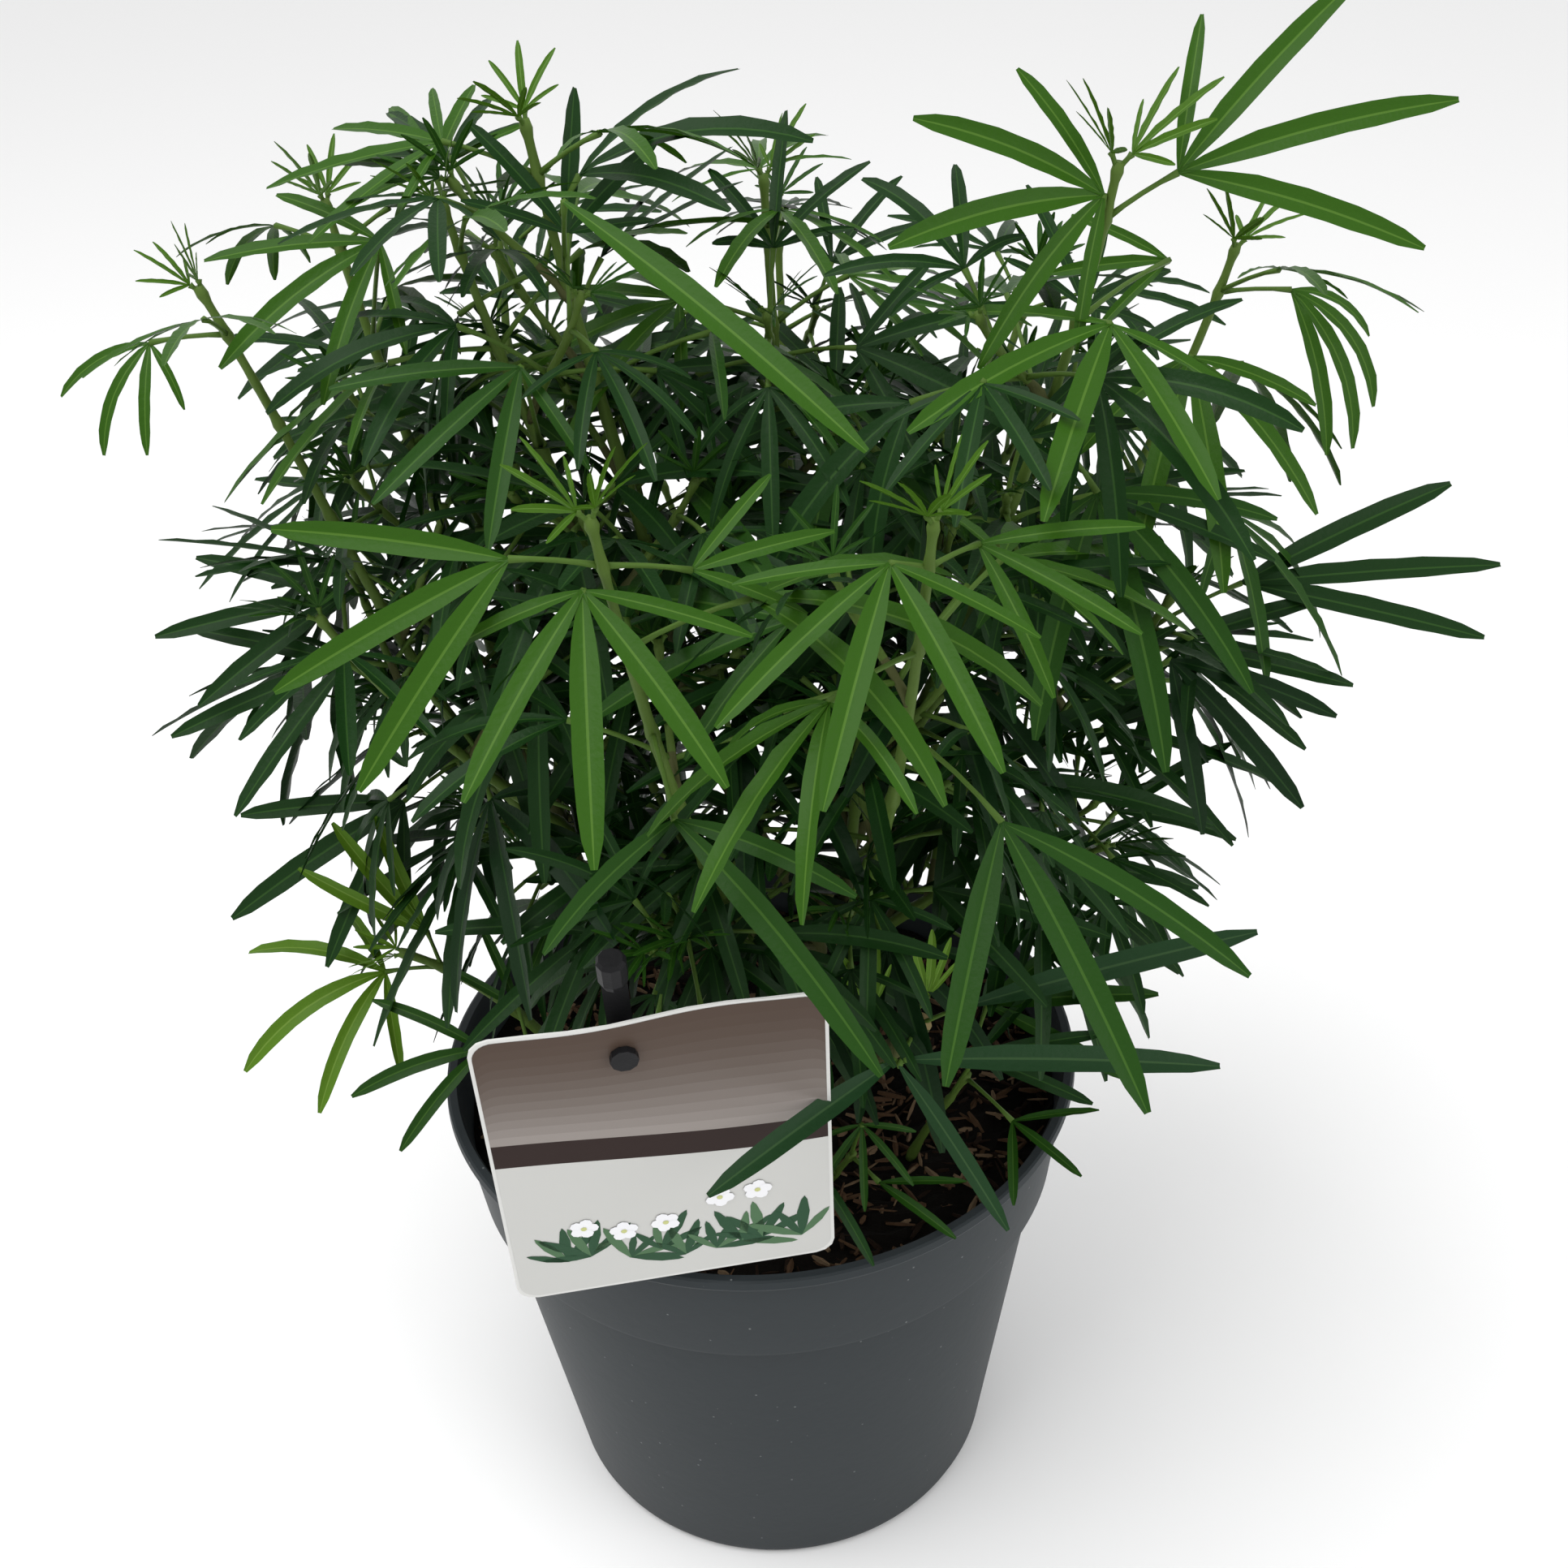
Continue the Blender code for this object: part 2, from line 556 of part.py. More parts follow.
def prism(outline, near, far, frame):
    """Closed plate between two depths of an outline drawn in the card's own plane."""
    verts = [frame @ Vector((x, near, z)) for x, z in outline]
    verts = verts + [frame @ Vector((x, far, z)) for x, z in outline]
    count = len(outline)
    faces = [tuple(range(count)), tuple(reversed(range(count, 2 * count)))]
    for k in range(count):
        n = (k + 1) % count
        faces.append((k, k + count, n + count, n))
    return [np.array(v) for v in verts], faces


def disc_outline(x, z, radius, sides):
    return [(x + radius * math.cos(2 * math.pi * k / sides), z + radius * math.sin(2 * math.pi * k / sides))
            for k in range(sides)]


def bar(start, end, width, thick, side):
    """Flat strip between two points, its tip at the start drawn to an edge."""
    go = unit(end - start)
    side = unit(side - go * (side @ go))
    over = np.cross(go, side)
    verts = []
    for point, share in ((start, 0.25), (start + go * 0.018, 1.0), (end, 1.0)):
        for a, b in ((1, 1), (-1, 1), (-1, -1), (1, -1)):
            verts.append(point + side * a * share * width / 2 + over * b * thick / 2)
    faces = [(3, 2, 1, 0), (8, 9, 10, 11)]
    for i in (0, 4):
        for k in range(4):
            n = (k + 1) % 4
            faces.append((i + k, i + n, i + 4 + n, i + 4 + k))
    return verts, faces


def stake_pieces(frame):
    """Strip, knob above the card, peg through the card's hole and the peg's head."""
    x, z = CARD_HOLE
    behind = STAKE_BACK + STAKE_THICK / 2
    top = np.array(frame @ Vector((x, behind, STAKE_RISE - KNOB_LENGTH)))
    side = np.array((frame.to_3x3() @ Vector((1, 0, 0))))
    foot = np.array(STAKE_FOOT)
    foot = foot + unit(top - foot) * ((SOIL_HEIGHT + GAP - foot[2]) / unit(top - foot)[2])
    strip = bar(foot, top, STAKE_WIDTH, STAKE_THICK, side)
    rise = unit(top - foot)
    knob_points = [top - rise * 0.002, top, top + rise * (KNOB_LENGTH - 0.001), top + rise * KNOB_LENGTH]
    knob = tube(knob_points, [0.8 * KNOB_RADIUS, KNOB_RADIUS, KNOB_RADIUS, 0.8 * KNOB_RADIUS], 10)
    front = -CARD_THICK / 2 - GAP
    peg = prism(disc_outline(x, z, PEG_RADIUS, 8), front - 0.0004, behind + STAKE_THICK, frame)
    head = prism(disc_outline(x, z, PEG_HEAD_RADIUS, 10), front - PEG_HEAD_LENGTH, front, frame)
    return [strip, knob, peg, head]


def look(name):
    """Material of this name."""
    if name in bpy.data.materials:
        return bpy.data.materials[name]
    colour, roughness, metallic = LOOKS[name]
    material = bpy.data.materials.new(name)
    material.use_nodes = True
    shader = material.node_tree.nodes["Principled BSDF"]
    shader.inputs["Base Color"].default_value = (*colour, 1.0)
    shader.inputs["Roughness"].default_value = roughness
    shader.inputs["Metallic"].default_value = metallic
    return material


def body(name, piece, material, smooth=False):
    """Object of one closed piece, its faces turned outwards."""
    verts, faces = piece
    mesh = bpy.data.meshes.new(name)
    mesh.from_pydata([tuple(float(c) for c in v) for v in verts], [], faces)
    shell = bmesh.new()
    shell.from_mesh(mesh)
    bmesh.ops.recalc_face_normals(shell, faces=shell.faces)
    shell.to_mesh(mesh)
    shell.free()
    for polygon in mesh.polygons:
        polygon.use_smooth = smooth
    obj = bpy.data.objects.new(name, mesh)
    bpy.context.scene.collection.objects.link(obj)
    if material:
        mesh.materials.append(look(material))
    return obj


def combined(name, first, others, material, operation="UNION", solver="MANIFOLD"):
    """The first piece joined with, or cut by, all the others in one step."""
    base = body(name, first, material)
    group = bpy.data.collections.new(name + "_pieces")
    bpy.context.scene.collection.children.link(group)
    for k, piece in enumerate(others):
        helper = body(f"{name}_piece_{k}", piece, None)
        bpy.context.scene.collection.objects.unlink(helper)
        group.objects.link(helper)
    step = base.modifiers.new("join", "BOOLEAN")
    step.operation = operation
    step.operand_type = "COLLECTION"
    step.collection = group
    step.solver = solver
    bpy.context.view_layer.update()
    graph = bpy.context.evaluated_depsgraph_get()
    joined = bpy.data.meshes.new_from_object(base.evaluated_get(graph))
    base.modifiers.clear()
    old = base.data
    base.data = joined
    bpy.data.meshes.remove(old)
    for helper in list(group.objects):
        mesh = helper.data
        bpy.data.objects.remove(helper)
        bpy.data.meshes.remove(mesh)
    bpy.data.collections.remove(group)
    joined.name = name
    joined.materials.clear()
    joined.materials.append(look(material))
    return base


def leaf_material(name):
    if name in YOUNG_SHOOTS:
        return "young_leaf"
    return "fresh_leaf" if name in FRESH_SHOOTS else "dark_leaf"


def petiole_piece(leaf, grown=0.0):
    """Leaf stalk that widens to the knuckle where its fingers meet."""
    way = unit(leaf["hub"] - leaf["foot"])
    ends = [leaf["foot"] + way * (0.0 if grown == 0.0 else BOUGH_RADIUS), leaf["hub"] + way * HUB_REACH]
    return tube(ends, [PETIOLE_RADIUS, HUB_RADIUS], TWIG_SIDES, grown)


def bud_finger(leaf, finger):
    """A young finger drawn from the tip of its stem itself."""
    end = finger_line(finger, 4)[-1]
    long = end - leaf["foot"]
    return dict(finger, root=leaf["foot"], way=unit(long), length=np.linalg.norm(long), droop=0.0,
                broad=finger["broad"] * YOUNG_BROADER)


def build_plant(fixed):
    """Trunk, boughs and masses of leaves around the fixed solids."""
    lines, leaves = grow()
    trunk_line = lines["trunk"]
    stations = [share * trunk_line.length for share in TRUNK_RADII_AT]
    points = [trunk_line.at(s) for s in stations]
    trunk = tube(points, TRUNK_RADII, TRUNK_SIDES)
    level = SOIL_HEIGHT + GAP
    for k in range(TRUNK_SIDES):
        trunk[0][k][2] = level
    body("trunk", trunk, "green_bark", smooth=True)
    limbs = {"trunk": tree_of([trunk])}
    stems = {}
    starts = {}
    for name, _, _, _, _, _, pairs, _, _ in SHOOTS:
        line = lines[name]
        obstacles = list(limbs.values()) + fixed
        start = free_start(line, BOUGH_RADIUS, obstacles)
        leafy = line.length - PAIR_DROPS[pairs - 1] - BARE_TWIG_BELOW
        if leafy - start >= SHORTEST_BOUGH:
            stations = even_stations(start, leafy - GAP / 2, BOUGH_STEP)
            bough = stem_piece(line, stations, (BOUGH_RADIUS, BOUGH_TIP_RADIUS), BOUGH_SIDES)
            body("bough_" + name, bough, "green_bark", smooth=True)
            limbs["bough_" + name] = tree_of([bough])
            start = leafy + GAP / 2
        stations = twig_stations(line, start, pairs)
        starts[name] = start
        twig = stem_piece(line, stations, (BOUGH_TIP_RADIUS, TWIG_TIP_RADIUS), TWIG_SIDES)
        stems[name] = twig
        limbs[name] = tree_of([twig])
    for row in SOIL_SHOOTS:
        name, radius = row[0], row[8] * MM
        line = lines[name]
        start = free_start(line, radius, list(limbs.values()) + fixed)
        sides = BOUGH_SIDES if name == "stub" else TWIG_SIDES
        tip_radius = radius if name == "stub" else radius * 0.7
        starts[name] = start
        twig = stem_piece(line, twig_stations(line, start, row[5]), (radius, tip_radius), sides)
        stems[name] = twig
        limbs[name] = tree_of([twig])
    crowns = {}
    for name, twig in stems.items():
        obstacles = fixed + [limb for key, limb in limbs.items() if key != name]
        obstacles = obstacles + list(crowns.values())
        kept = []
        for leaf in leaves[name]:
            if leaf["metres"] < starts[name] + FOOT_ROOM:
                continue
            fingers = leaf["fingers"] if leaf["placed"] else leaf["fingers"][:SOLID_FINGERS]
            if leaf["pair"] == 0 and not leaf["placed"]:
                fingers = [bud_finger(leaf, finger) for finger in fingers[1:]]
            elif touches(petiole_piece(leaf, GAP), obstacles):
                continue
            else:
                kept.append(petiole_piece(leaf))
            for finger in fingers:
                if not touches(blade_solid(finger, GAP), obstacles):
                    kept.append(blade_solid(finger))
        crowns[name] = tree_of(kept)
        combined("leaves_" + name, twig, kept, leaf_material(name))


def main():
    for obj in list(bpy.data.objects):
        bpy.data.objects.remove(obj)
    frame = card_frame()
    pot = turned_solid(pot_outside() + pot_inside(), POT_SIDES)
    body("pot", pot, "pot_plastic", smooth=True)
    soil = turned_solid(soil_profile(), POT_SIDES)
    body("soil", soil, "compost")
    card = prism(card_outline(), -CARD_THICK / 2, CARD_THICK / 2, frame)
    hole = prism(disc_outline(*CARD_HOLE, CARD_HOLE_RADIUS, 12), -0.005, 0.005, frame)
    combined("tag", card, [hole], "card", "DIFFERENCE", "EXACT")
    stake = stake_pieces(frame)
    combined("tag_stake", stake[0], stake[1:], "stake_plastic", "UNION", "EXACT")
    build_plant([tree_of([pot]), tree_of([soil]), tree_of([card]), tree_of(stake)])


main()
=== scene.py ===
"""Looks of the potted shrub: fine leaves, bark, compost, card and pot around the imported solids."""
import math
import random

import bpy
import numpy as np
from mathutils import Matrix, Vector


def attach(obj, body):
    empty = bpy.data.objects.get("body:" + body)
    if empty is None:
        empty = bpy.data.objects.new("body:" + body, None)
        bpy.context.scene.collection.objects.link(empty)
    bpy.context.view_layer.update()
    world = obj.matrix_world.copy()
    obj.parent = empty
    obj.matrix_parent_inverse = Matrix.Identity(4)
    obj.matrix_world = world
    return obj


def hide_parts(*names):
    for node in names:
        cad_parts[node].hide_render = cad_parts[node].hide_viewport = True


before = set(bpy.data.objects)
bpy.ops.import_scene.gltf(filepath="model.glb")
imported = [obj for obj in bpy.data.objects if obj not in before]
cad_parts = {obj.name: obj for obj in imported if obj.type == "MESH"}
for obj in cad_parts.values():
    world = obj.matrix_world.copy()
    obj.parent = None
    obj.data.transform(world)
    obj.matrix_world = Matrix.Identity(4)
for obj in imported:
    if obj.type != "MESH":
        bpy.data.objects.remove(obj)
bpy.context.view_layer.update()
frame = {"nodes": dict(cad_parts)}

MM = 0.001
GAP = 0.3 * MM

# Pot
POT_RIM_RADIUS = 0.0950
POT_RIM_HEIGHT = 0.1550
POT_BEAD_DROP = 0.0035
POT_COLLAR_DROP = 0.0360
POT_COLLAR_RADIUS = 0.0890
POT_BODY_RADIUS = 0.0853
POT_BASE_RADIUS = 0.0690
POT_WALL = 0.0017
POT_FLOOR = 0.0025
POT_EDGE = 0.0040
POT_SIDES = 160
POT_SHARP_ANGLE = 28

# Compost and its wood chips
SOIL_HEIGHT = 0.1380
SOIL_RADIUS = 0.0890
SOIL_RINGS = 26
SOIL_SECTORS = 96
SOIL_LUMP = (-0.0010, 0.0016)
SOIL_SWELL = 0.0012
SOIL_SWELL_RATE = 150
CHIP_COUNT = 1500
CHIP_SPREAD = 0.0860
CHIP_LIMIT = 0.0875
CHIP_LIFT = (0.0002, 0.0024)
CHIP_LONG = (0.0020, 0.0100)
CHIP_THICK = (0.0003, 0.0011)
CHIP_TILT = 22
CHIP_SIDES = 4
CHIP_SLOTS = (1, 1, 2, 3, 3)

# Plant card and its print
CARD_WIDTH = 0.0830
CARD_HEIGHT = 0.1010
CARD_THICK = 0.0006
CARD_CORNER = 0.0050
CARD_WAVE = 0.0016
CARD_TOP = (-0.0250, -0.1100, 0.2620)
CARD_TURN = (8.0, -0.9, 6.3)
PRINT_MARGIN = 0.0009
PRINT_HALF = CARD_WIDTH / 2 - PRINT_MARGIN
PRINT_FRONT = -CARD_THICK / 2 - 0.00008
PRINT_LAYER = 0.00005
PRINT_STRIPS = 12
PRINT_COLUMNS = 40
PRINT_UPPER = (0.072, 0.048, 0.036)
PRINT_LOWER = (0.105, 0.076, 0.058)
PRINT_GLOW = 0.16
PRINT_STRAY = (-0.0020, 0.0020)
BAND_DROP = 0.0405
BAND_SWELL = 0.0040
BAND_HEIGHT = 0.0085
BAND_CURVE = 1.3
BAND_LEAN = 0.4
CARD_COLOURS = {
    "card_band": (0.020, 0.009, 0.007),
    "card_pale": (0.52, 0.52, 0.50),
    "card_edge": (0.62, 0.62, 0.60),
    "print_leaf": (0.016, 0.062, 0.026),
    "print_leaf_pale": (0.065, 0.140, 0.065),
    "print_petal": (0.78, 0.78, 0.80),
    "print_heart": (0.50, 0.52, 0.22),
}
SPRIG_COUNT = 9
SPRIG_BLADES = 5
SPRIG_FOOT = (-0.0280, -0.0920)
SPRIG_STEP = 0.0075
SPRIG_LIFT = (-0.0020, 0.0060)
SPRIG_LEAN = 50
SPRIG_SPREAD = 32
SPRIG_LAYER = 0.00002
SPRIG_BLADE_LONG = (0.0100, 0.0170)
SPRIG_BLADE_WIDE = 0.10
SPRIG_OUTLINE = ((0, 0.1), (0.3, 0.8), (0.6, 1.0), (0.9, 0.5), (1.0, 0.0), (0.9, -0.5), (0.6, -1.0),
                 (0.3, -0.8), (0, -0.1))
BLOOM_COUNT = 5
BLOOM_PLACE = (-0.0220, -0.0730)
BLOOM_STEP = 0.0110
BLOOM_LIFT = (-0.0060, 0.0040)
BLOOM_TURN = 20
BLOOM_LAYER = 0.0002
PETALS = 5
PETAL_LAYER = 0.00001
PETAL_REACH = 0.0021
PETAL_RADIUS = 0.0017
HEART_RADIUS = 0.0008
HEART_LAYER = 0.0003

# Trunk, shoots and their bark
TRUNK_FOOT = (0.0150, 0.0200, SOIL_HEIGHT + GAP)
TRUNK_TOP = (0.0190, 0.0180, 0.1880)
TRUNK_PULLS = (0.3, 0.3)
TRUNK_RADII = (0.0095, 0.0060, 0.0048, 0.0042, 0.0036)
TRUNK_RADII_AT = (0.0, 0.08, 0.25, 0.6, 1.0)
SHOOT_RADII = (0.0023, 0.0010)
FILL_RADII = (0.0012, 0.0008)
SOIL_SHOOT_TAPER = 0.6
STEM_SIDES = 12
STEM_STEP = 0.0022
STEM_TAPER = 0.9
STEM_WAVER = (0.96, 1.05)
JOINT_SWELL = 0.0005
JOINT_LENGTH = 0.0018
BARK_SHARE = 0.28
BARK_RIDGE = 0.05
BARK_PITCH = 2.1
BARK_WIND = 3
BARK_WIND_RATE = 90
BARK_GRAIN = 0.02
LINE_STEPS = 28
LINE_PULL = 0.35
LINE_LOOK = 0.0020
ASKEW = np.array([0.31, 0.92, 0.23])

# Pairs of leaves down from the tip: distance, size and youth of each
PAIR_DROPS = (0.002, 0.013, 0.038, 0.066, 0.095, 0.125)
PAIR_SIZES = (0.32, 0.72, 1.0, 1.05, 1.0, 0.95)
PAIR_YOUTH = (1.0, 0.35, 0.1, 0.0, 0.0, 0.0)
PAIR_STRAY = 14
LOWEST_PAIR = 0.0040

# Leaves
USUAL_BLADE = 0.060
YOUNG_SPREAD = 26
OLD_SPREAD = 66
SPREAD_STRAY = 8
PETIOLE_YOUNG = 0.004
PETIOLE_GROWTH = 0.028
PETIOLE_STRAY = 0.005
PETIOLE_BEND = 0.55
PETIOLE_ARCH = 0.06
YOUNG_SAG = 6
OLD_SAG = 20
BLADE_RANGE = (0.86, 1.08)
BLADE_HANG = (8, 34)
FACE_UP = 0.75
FACE_ALONG = 0.6
FACE_STRAY = 28
DROOP_RANGE = (10, 50)
YOUNG_DROOP = 0.3
PLACED_JITTER = 0.5
FIVE_FINGERED = 0.6
BUD_FINGER_STEP = 30
FINGER_STEP = 36
FAN_ORDER = (0, 1, -1, 2, -2)
FAN_LENGTHS = {0: 1.0, 1: 0.9, -1: 0.9, 2: 0.62, -2: 0.62}
FAN_STRAY = 6
FINGER_RANGE = (0.93, 1.05)
FINGER_DROOP = (0.7, 1.3)
FINGER_BREADTH = (0.9, 1.1)
STALK_RADII = (0.0009, 0.00065, 0.0006, 0.0006, 0.0009)
STALK_SIDES = 5

# Fingers of a leaf
FINGER_BENDS = 8
FINGER_ROWS = 10
FINGER_COLUMNS = (-1.0, -0.55, -0.09, 0.09, 0.55, 1.0)
FINGER_BROAD = 0.108
FINGER_WIDEST = 0.0064
FINGER_FOOT = 0.16
FINGER_SWELL_END = 0.36
FINGER_TIP_START = 0.52
FINGER_TIP_LENGTH = 0.49
FINGER_CURL = 0.25
FINGER_TROUGH = 0.30
FINGER_WAVE = 0.10
FINGER_WAVES = 9
FINGER_WAVE_SHIFT = 1.3

# Side twigs that fill the crown
FILL_SHARES = (0.30, 0.46, 0.62, 0.76)
FILL_TWIG = 0.042
FILL_RANGE = (0.7, 1.2)
FILL_RISE = (15, 50)
FILL_AHEAD = 0.5
FILL_PULLS = (0.2, 0.5)
FILL_BLADE = 0.052
FILL_DROPS = (0.002, 0.012, 0.030)
FILL_STRAY = 20
FILL_LOWEST = SOIL_HEIGHT + 0.035
FILL_REACH = 0.105
FILL_FRONT = -0.075

# Room kept from the pot, the compost, the card and the view of the card
KEEP_OFF = 0.001
SOIL_REACH = 0.090
WALL_DEPTH = 0.006
CARD_SIDE_ROOM = 0.002
CARD_TOP_ROOM = 0.004
CARD_FACE_ROOM = 0.0015
VIEW_SIDE_ROOM = 0.004
VIEW_TOP_ROOM = 0.012
VIEW_FACE_ROOM = 0.002

# Blade and midrib of each tone of leaf. From light to deep the tones step the same green down: partly the
# paler colour of young leaves, partly painted sunlight and painted shade.
TONES = {
    "light": ((0.045, 0.115, 0.006), (0.090, 0.185, 0.028)),
    "fresh": ((0.024, 0.080, 0.0035), (0.058, 0.135, 0.015)),
    "mid": ((0.013, 0.052, 0.004), (0.036, 0.095, 0.012)),
    "dark": ((0.006, 0.030, 0.004), (0.020, 0.062, 0.010)),
    "deep": ((0.0035, 0.019, 0.0035), (0.012, 0.040, 0.008)),
    "grey": ((0.011, 0.040, 0.012), (0.030, 0.072, 0.024)),
    "young": ((0.075, 0.165, 0.010), (0.125, 0.225, 0.030)),
}
# Tones by pair down from the tip. Shoots in the sun take the lighter row as painted sunlight. All other
# shoots and the side twigs inside the crown take the darker row as painted shade. Down each row the leaves
# darken, partly as older leaves and partly as painted shade from the leaves above.
SUNLIT_TONES = ("light", "fresh", "fresh", "mid", "dark", "dark")
SHADED_TONES = ("mid", "dark", "dark", "deep", "deep", "deep")
STALK_COLOUR = (0.065, 0.125, 0.020)

# Surfaces
SHINE = 0.12
RELIEF_DEPTH = 0.0006
ALONG_STEM = (1, 1, 0.2)
SPECK_CORE = 0.03
SPECK_EDGE = 0.07
CLOUD_SCALE = 22.0

# Camera and studio
CAMERA_PLACE = (0.0, -0.449, 0.550)
CAMERA_TURN = (33.8, -2.76, 1.42)
SENSOR_MM = 36.0
FOCAL_PIXELS = 2400.0
PICTURE_PIXELS = 1932.0
CAMERA_NEAREST = 0.02
FLOOR_HALF = 6
FLOOR_DROP = -0.0005
WORLD_STRENGTH = 0.85
LIGHTS = (("key", (-0.5, -0.3, 1.6), 16.0, 1.2), ("fill", (1.2, -0.9, 0.9), 6.0, 1.0))
LIGHTS_AIM = (0, 0, 0.2)

UP = np.array([0.0, 0.0, 1.0])
FRONT = np.array([0.0, -1.0, 0.0])

# One row per shoot: name, parent, share of the parent's length where it leaves, tip (mm), pull of the
# foot and of the top towards the sky, pairs of leaves, turn of the first pair (degrees), blade (mm).
SHOOTS = (
    ("left_outer", "trunk", 0.85, (-120, 0, 399), -0.8, 0.6, 2, 10, 50),
    ("left_mid", "trunk", 0.98, (-61, 0, 416), -0.2, 0.7, 5, 20, 58),
    ("top_centre", "trunk", 1.0, (14, 30, 409), 0.0, 0.3, 5, 15, 56),
    ("right_top", "trunk", 0.95, (89, -30, 425), -0.1, 0.9, 4, 0, 70),
    ("right_second", "trunk", 0.80, (133, 30, 385), -0.2, 0.8, 5, 30, 56),
    ("front_left", "trunk", 0.75, (-27, -100, 382), -0.5, 1.0, 4, 0, 66),
    ("front_right", "trunk", 0.90, (41, -100, 377), -0.5, 1.0, 4, 40, 64),
    ("back_mid", "trunk", 0.80, (20, 120, 375), 0.0, 0.8, 5, 0, 58),
    ("top_left", "left_mid", 0.30, (-40, 0, 433), 0.2, 0.4, 5, 75, 58),
    ("left_back", "left_outer", 0.30, (-97, 50, 403), 0.2, 0.6, 4, 60, 50),
    ("left_side", "left_outer", 0.12, (-104, -14, 318), 0.0, 0.5, 4, 20, 60),
    ("left_low", "trunk", 0.55, (-90, 30, 255), 0.1, 0.4, 4, 60, 56),
    ("centre_left", "left_mid", 0.20, (-35, -20, 345), 0.2, 0.7, 4, 45, 58),
    ("back_left", "left_back", 0.20, (-60, 105, 380), 0.2, 0.7, 5, 35, 58),
    ("left_back_low", "left_back", 0.12, (-110, 85, 290), 0.2, 0.5, 4, 10, 60),
    ("back_low", "back_mid", 0.25, (-20, 125, 285), -0.2, 0.6, 4, 70, 60),
    ("back_right", "back_mid", 0.25, (95, 105, 355), 0.0, 0.7, 5, 55, 58),
    ("right_back_low", "right_second", 0.30, (115, 90, 280), 0.0, 0.5, 4, 20, 60),
    ("right_cut", "right_second", 0.40, (82, 50, 343), 0.4, 0.6, 3, 80, 55),
    ("centre_right", "right_top", 0.30, (60, 15, 350), 0.2, 0.7, 4, 5, 58),
    ("right_side", "right_second", 0.15, (115, -5, 305), 0.0, 0.6, 4, 10, 58),
    ("right_low", "trunk", 0.45, (95, 10, 235), 0.2, 0.3, 4, 80, 56),
    ("front_mid", "front_right", 0.20, (30, -45, 300), 0.2, 0.7, 4, 10, 58),
    ("front_low", "front_left", 0.25, (-20, -45, 245), 0.0, 0.6, 4, 50, 52),
)

# Short shoots that rise from the soil: name, foot (mm), tip (mm), pulls of foot and top, pairs, turn,
# blade (mm), radius of the stem (mm).
SOIL_SHOOTS = (
    ("left_shoot", (-50, -4), (-103, 0, 199), 0.9, -0.5, 2, 0, 50, 2.0),
    ("stub", (0, -40), (43, -60, 212), 0.6, 0.0, 3, 0, 60, 2.8),
    ("base_front", (12, -52), (24, -60, 166), 0.5, 0.0, 2, 0, 26, 1.3),
    ("base_right", (42, -36), (58, -42, 176), 0.5, 0.0, 2, 0, 36, 1.4),
    ("base_left", (-46, -30), (-66, -28, 182), 0.5, 0.0, 2, 0, 36, 1.4),
)

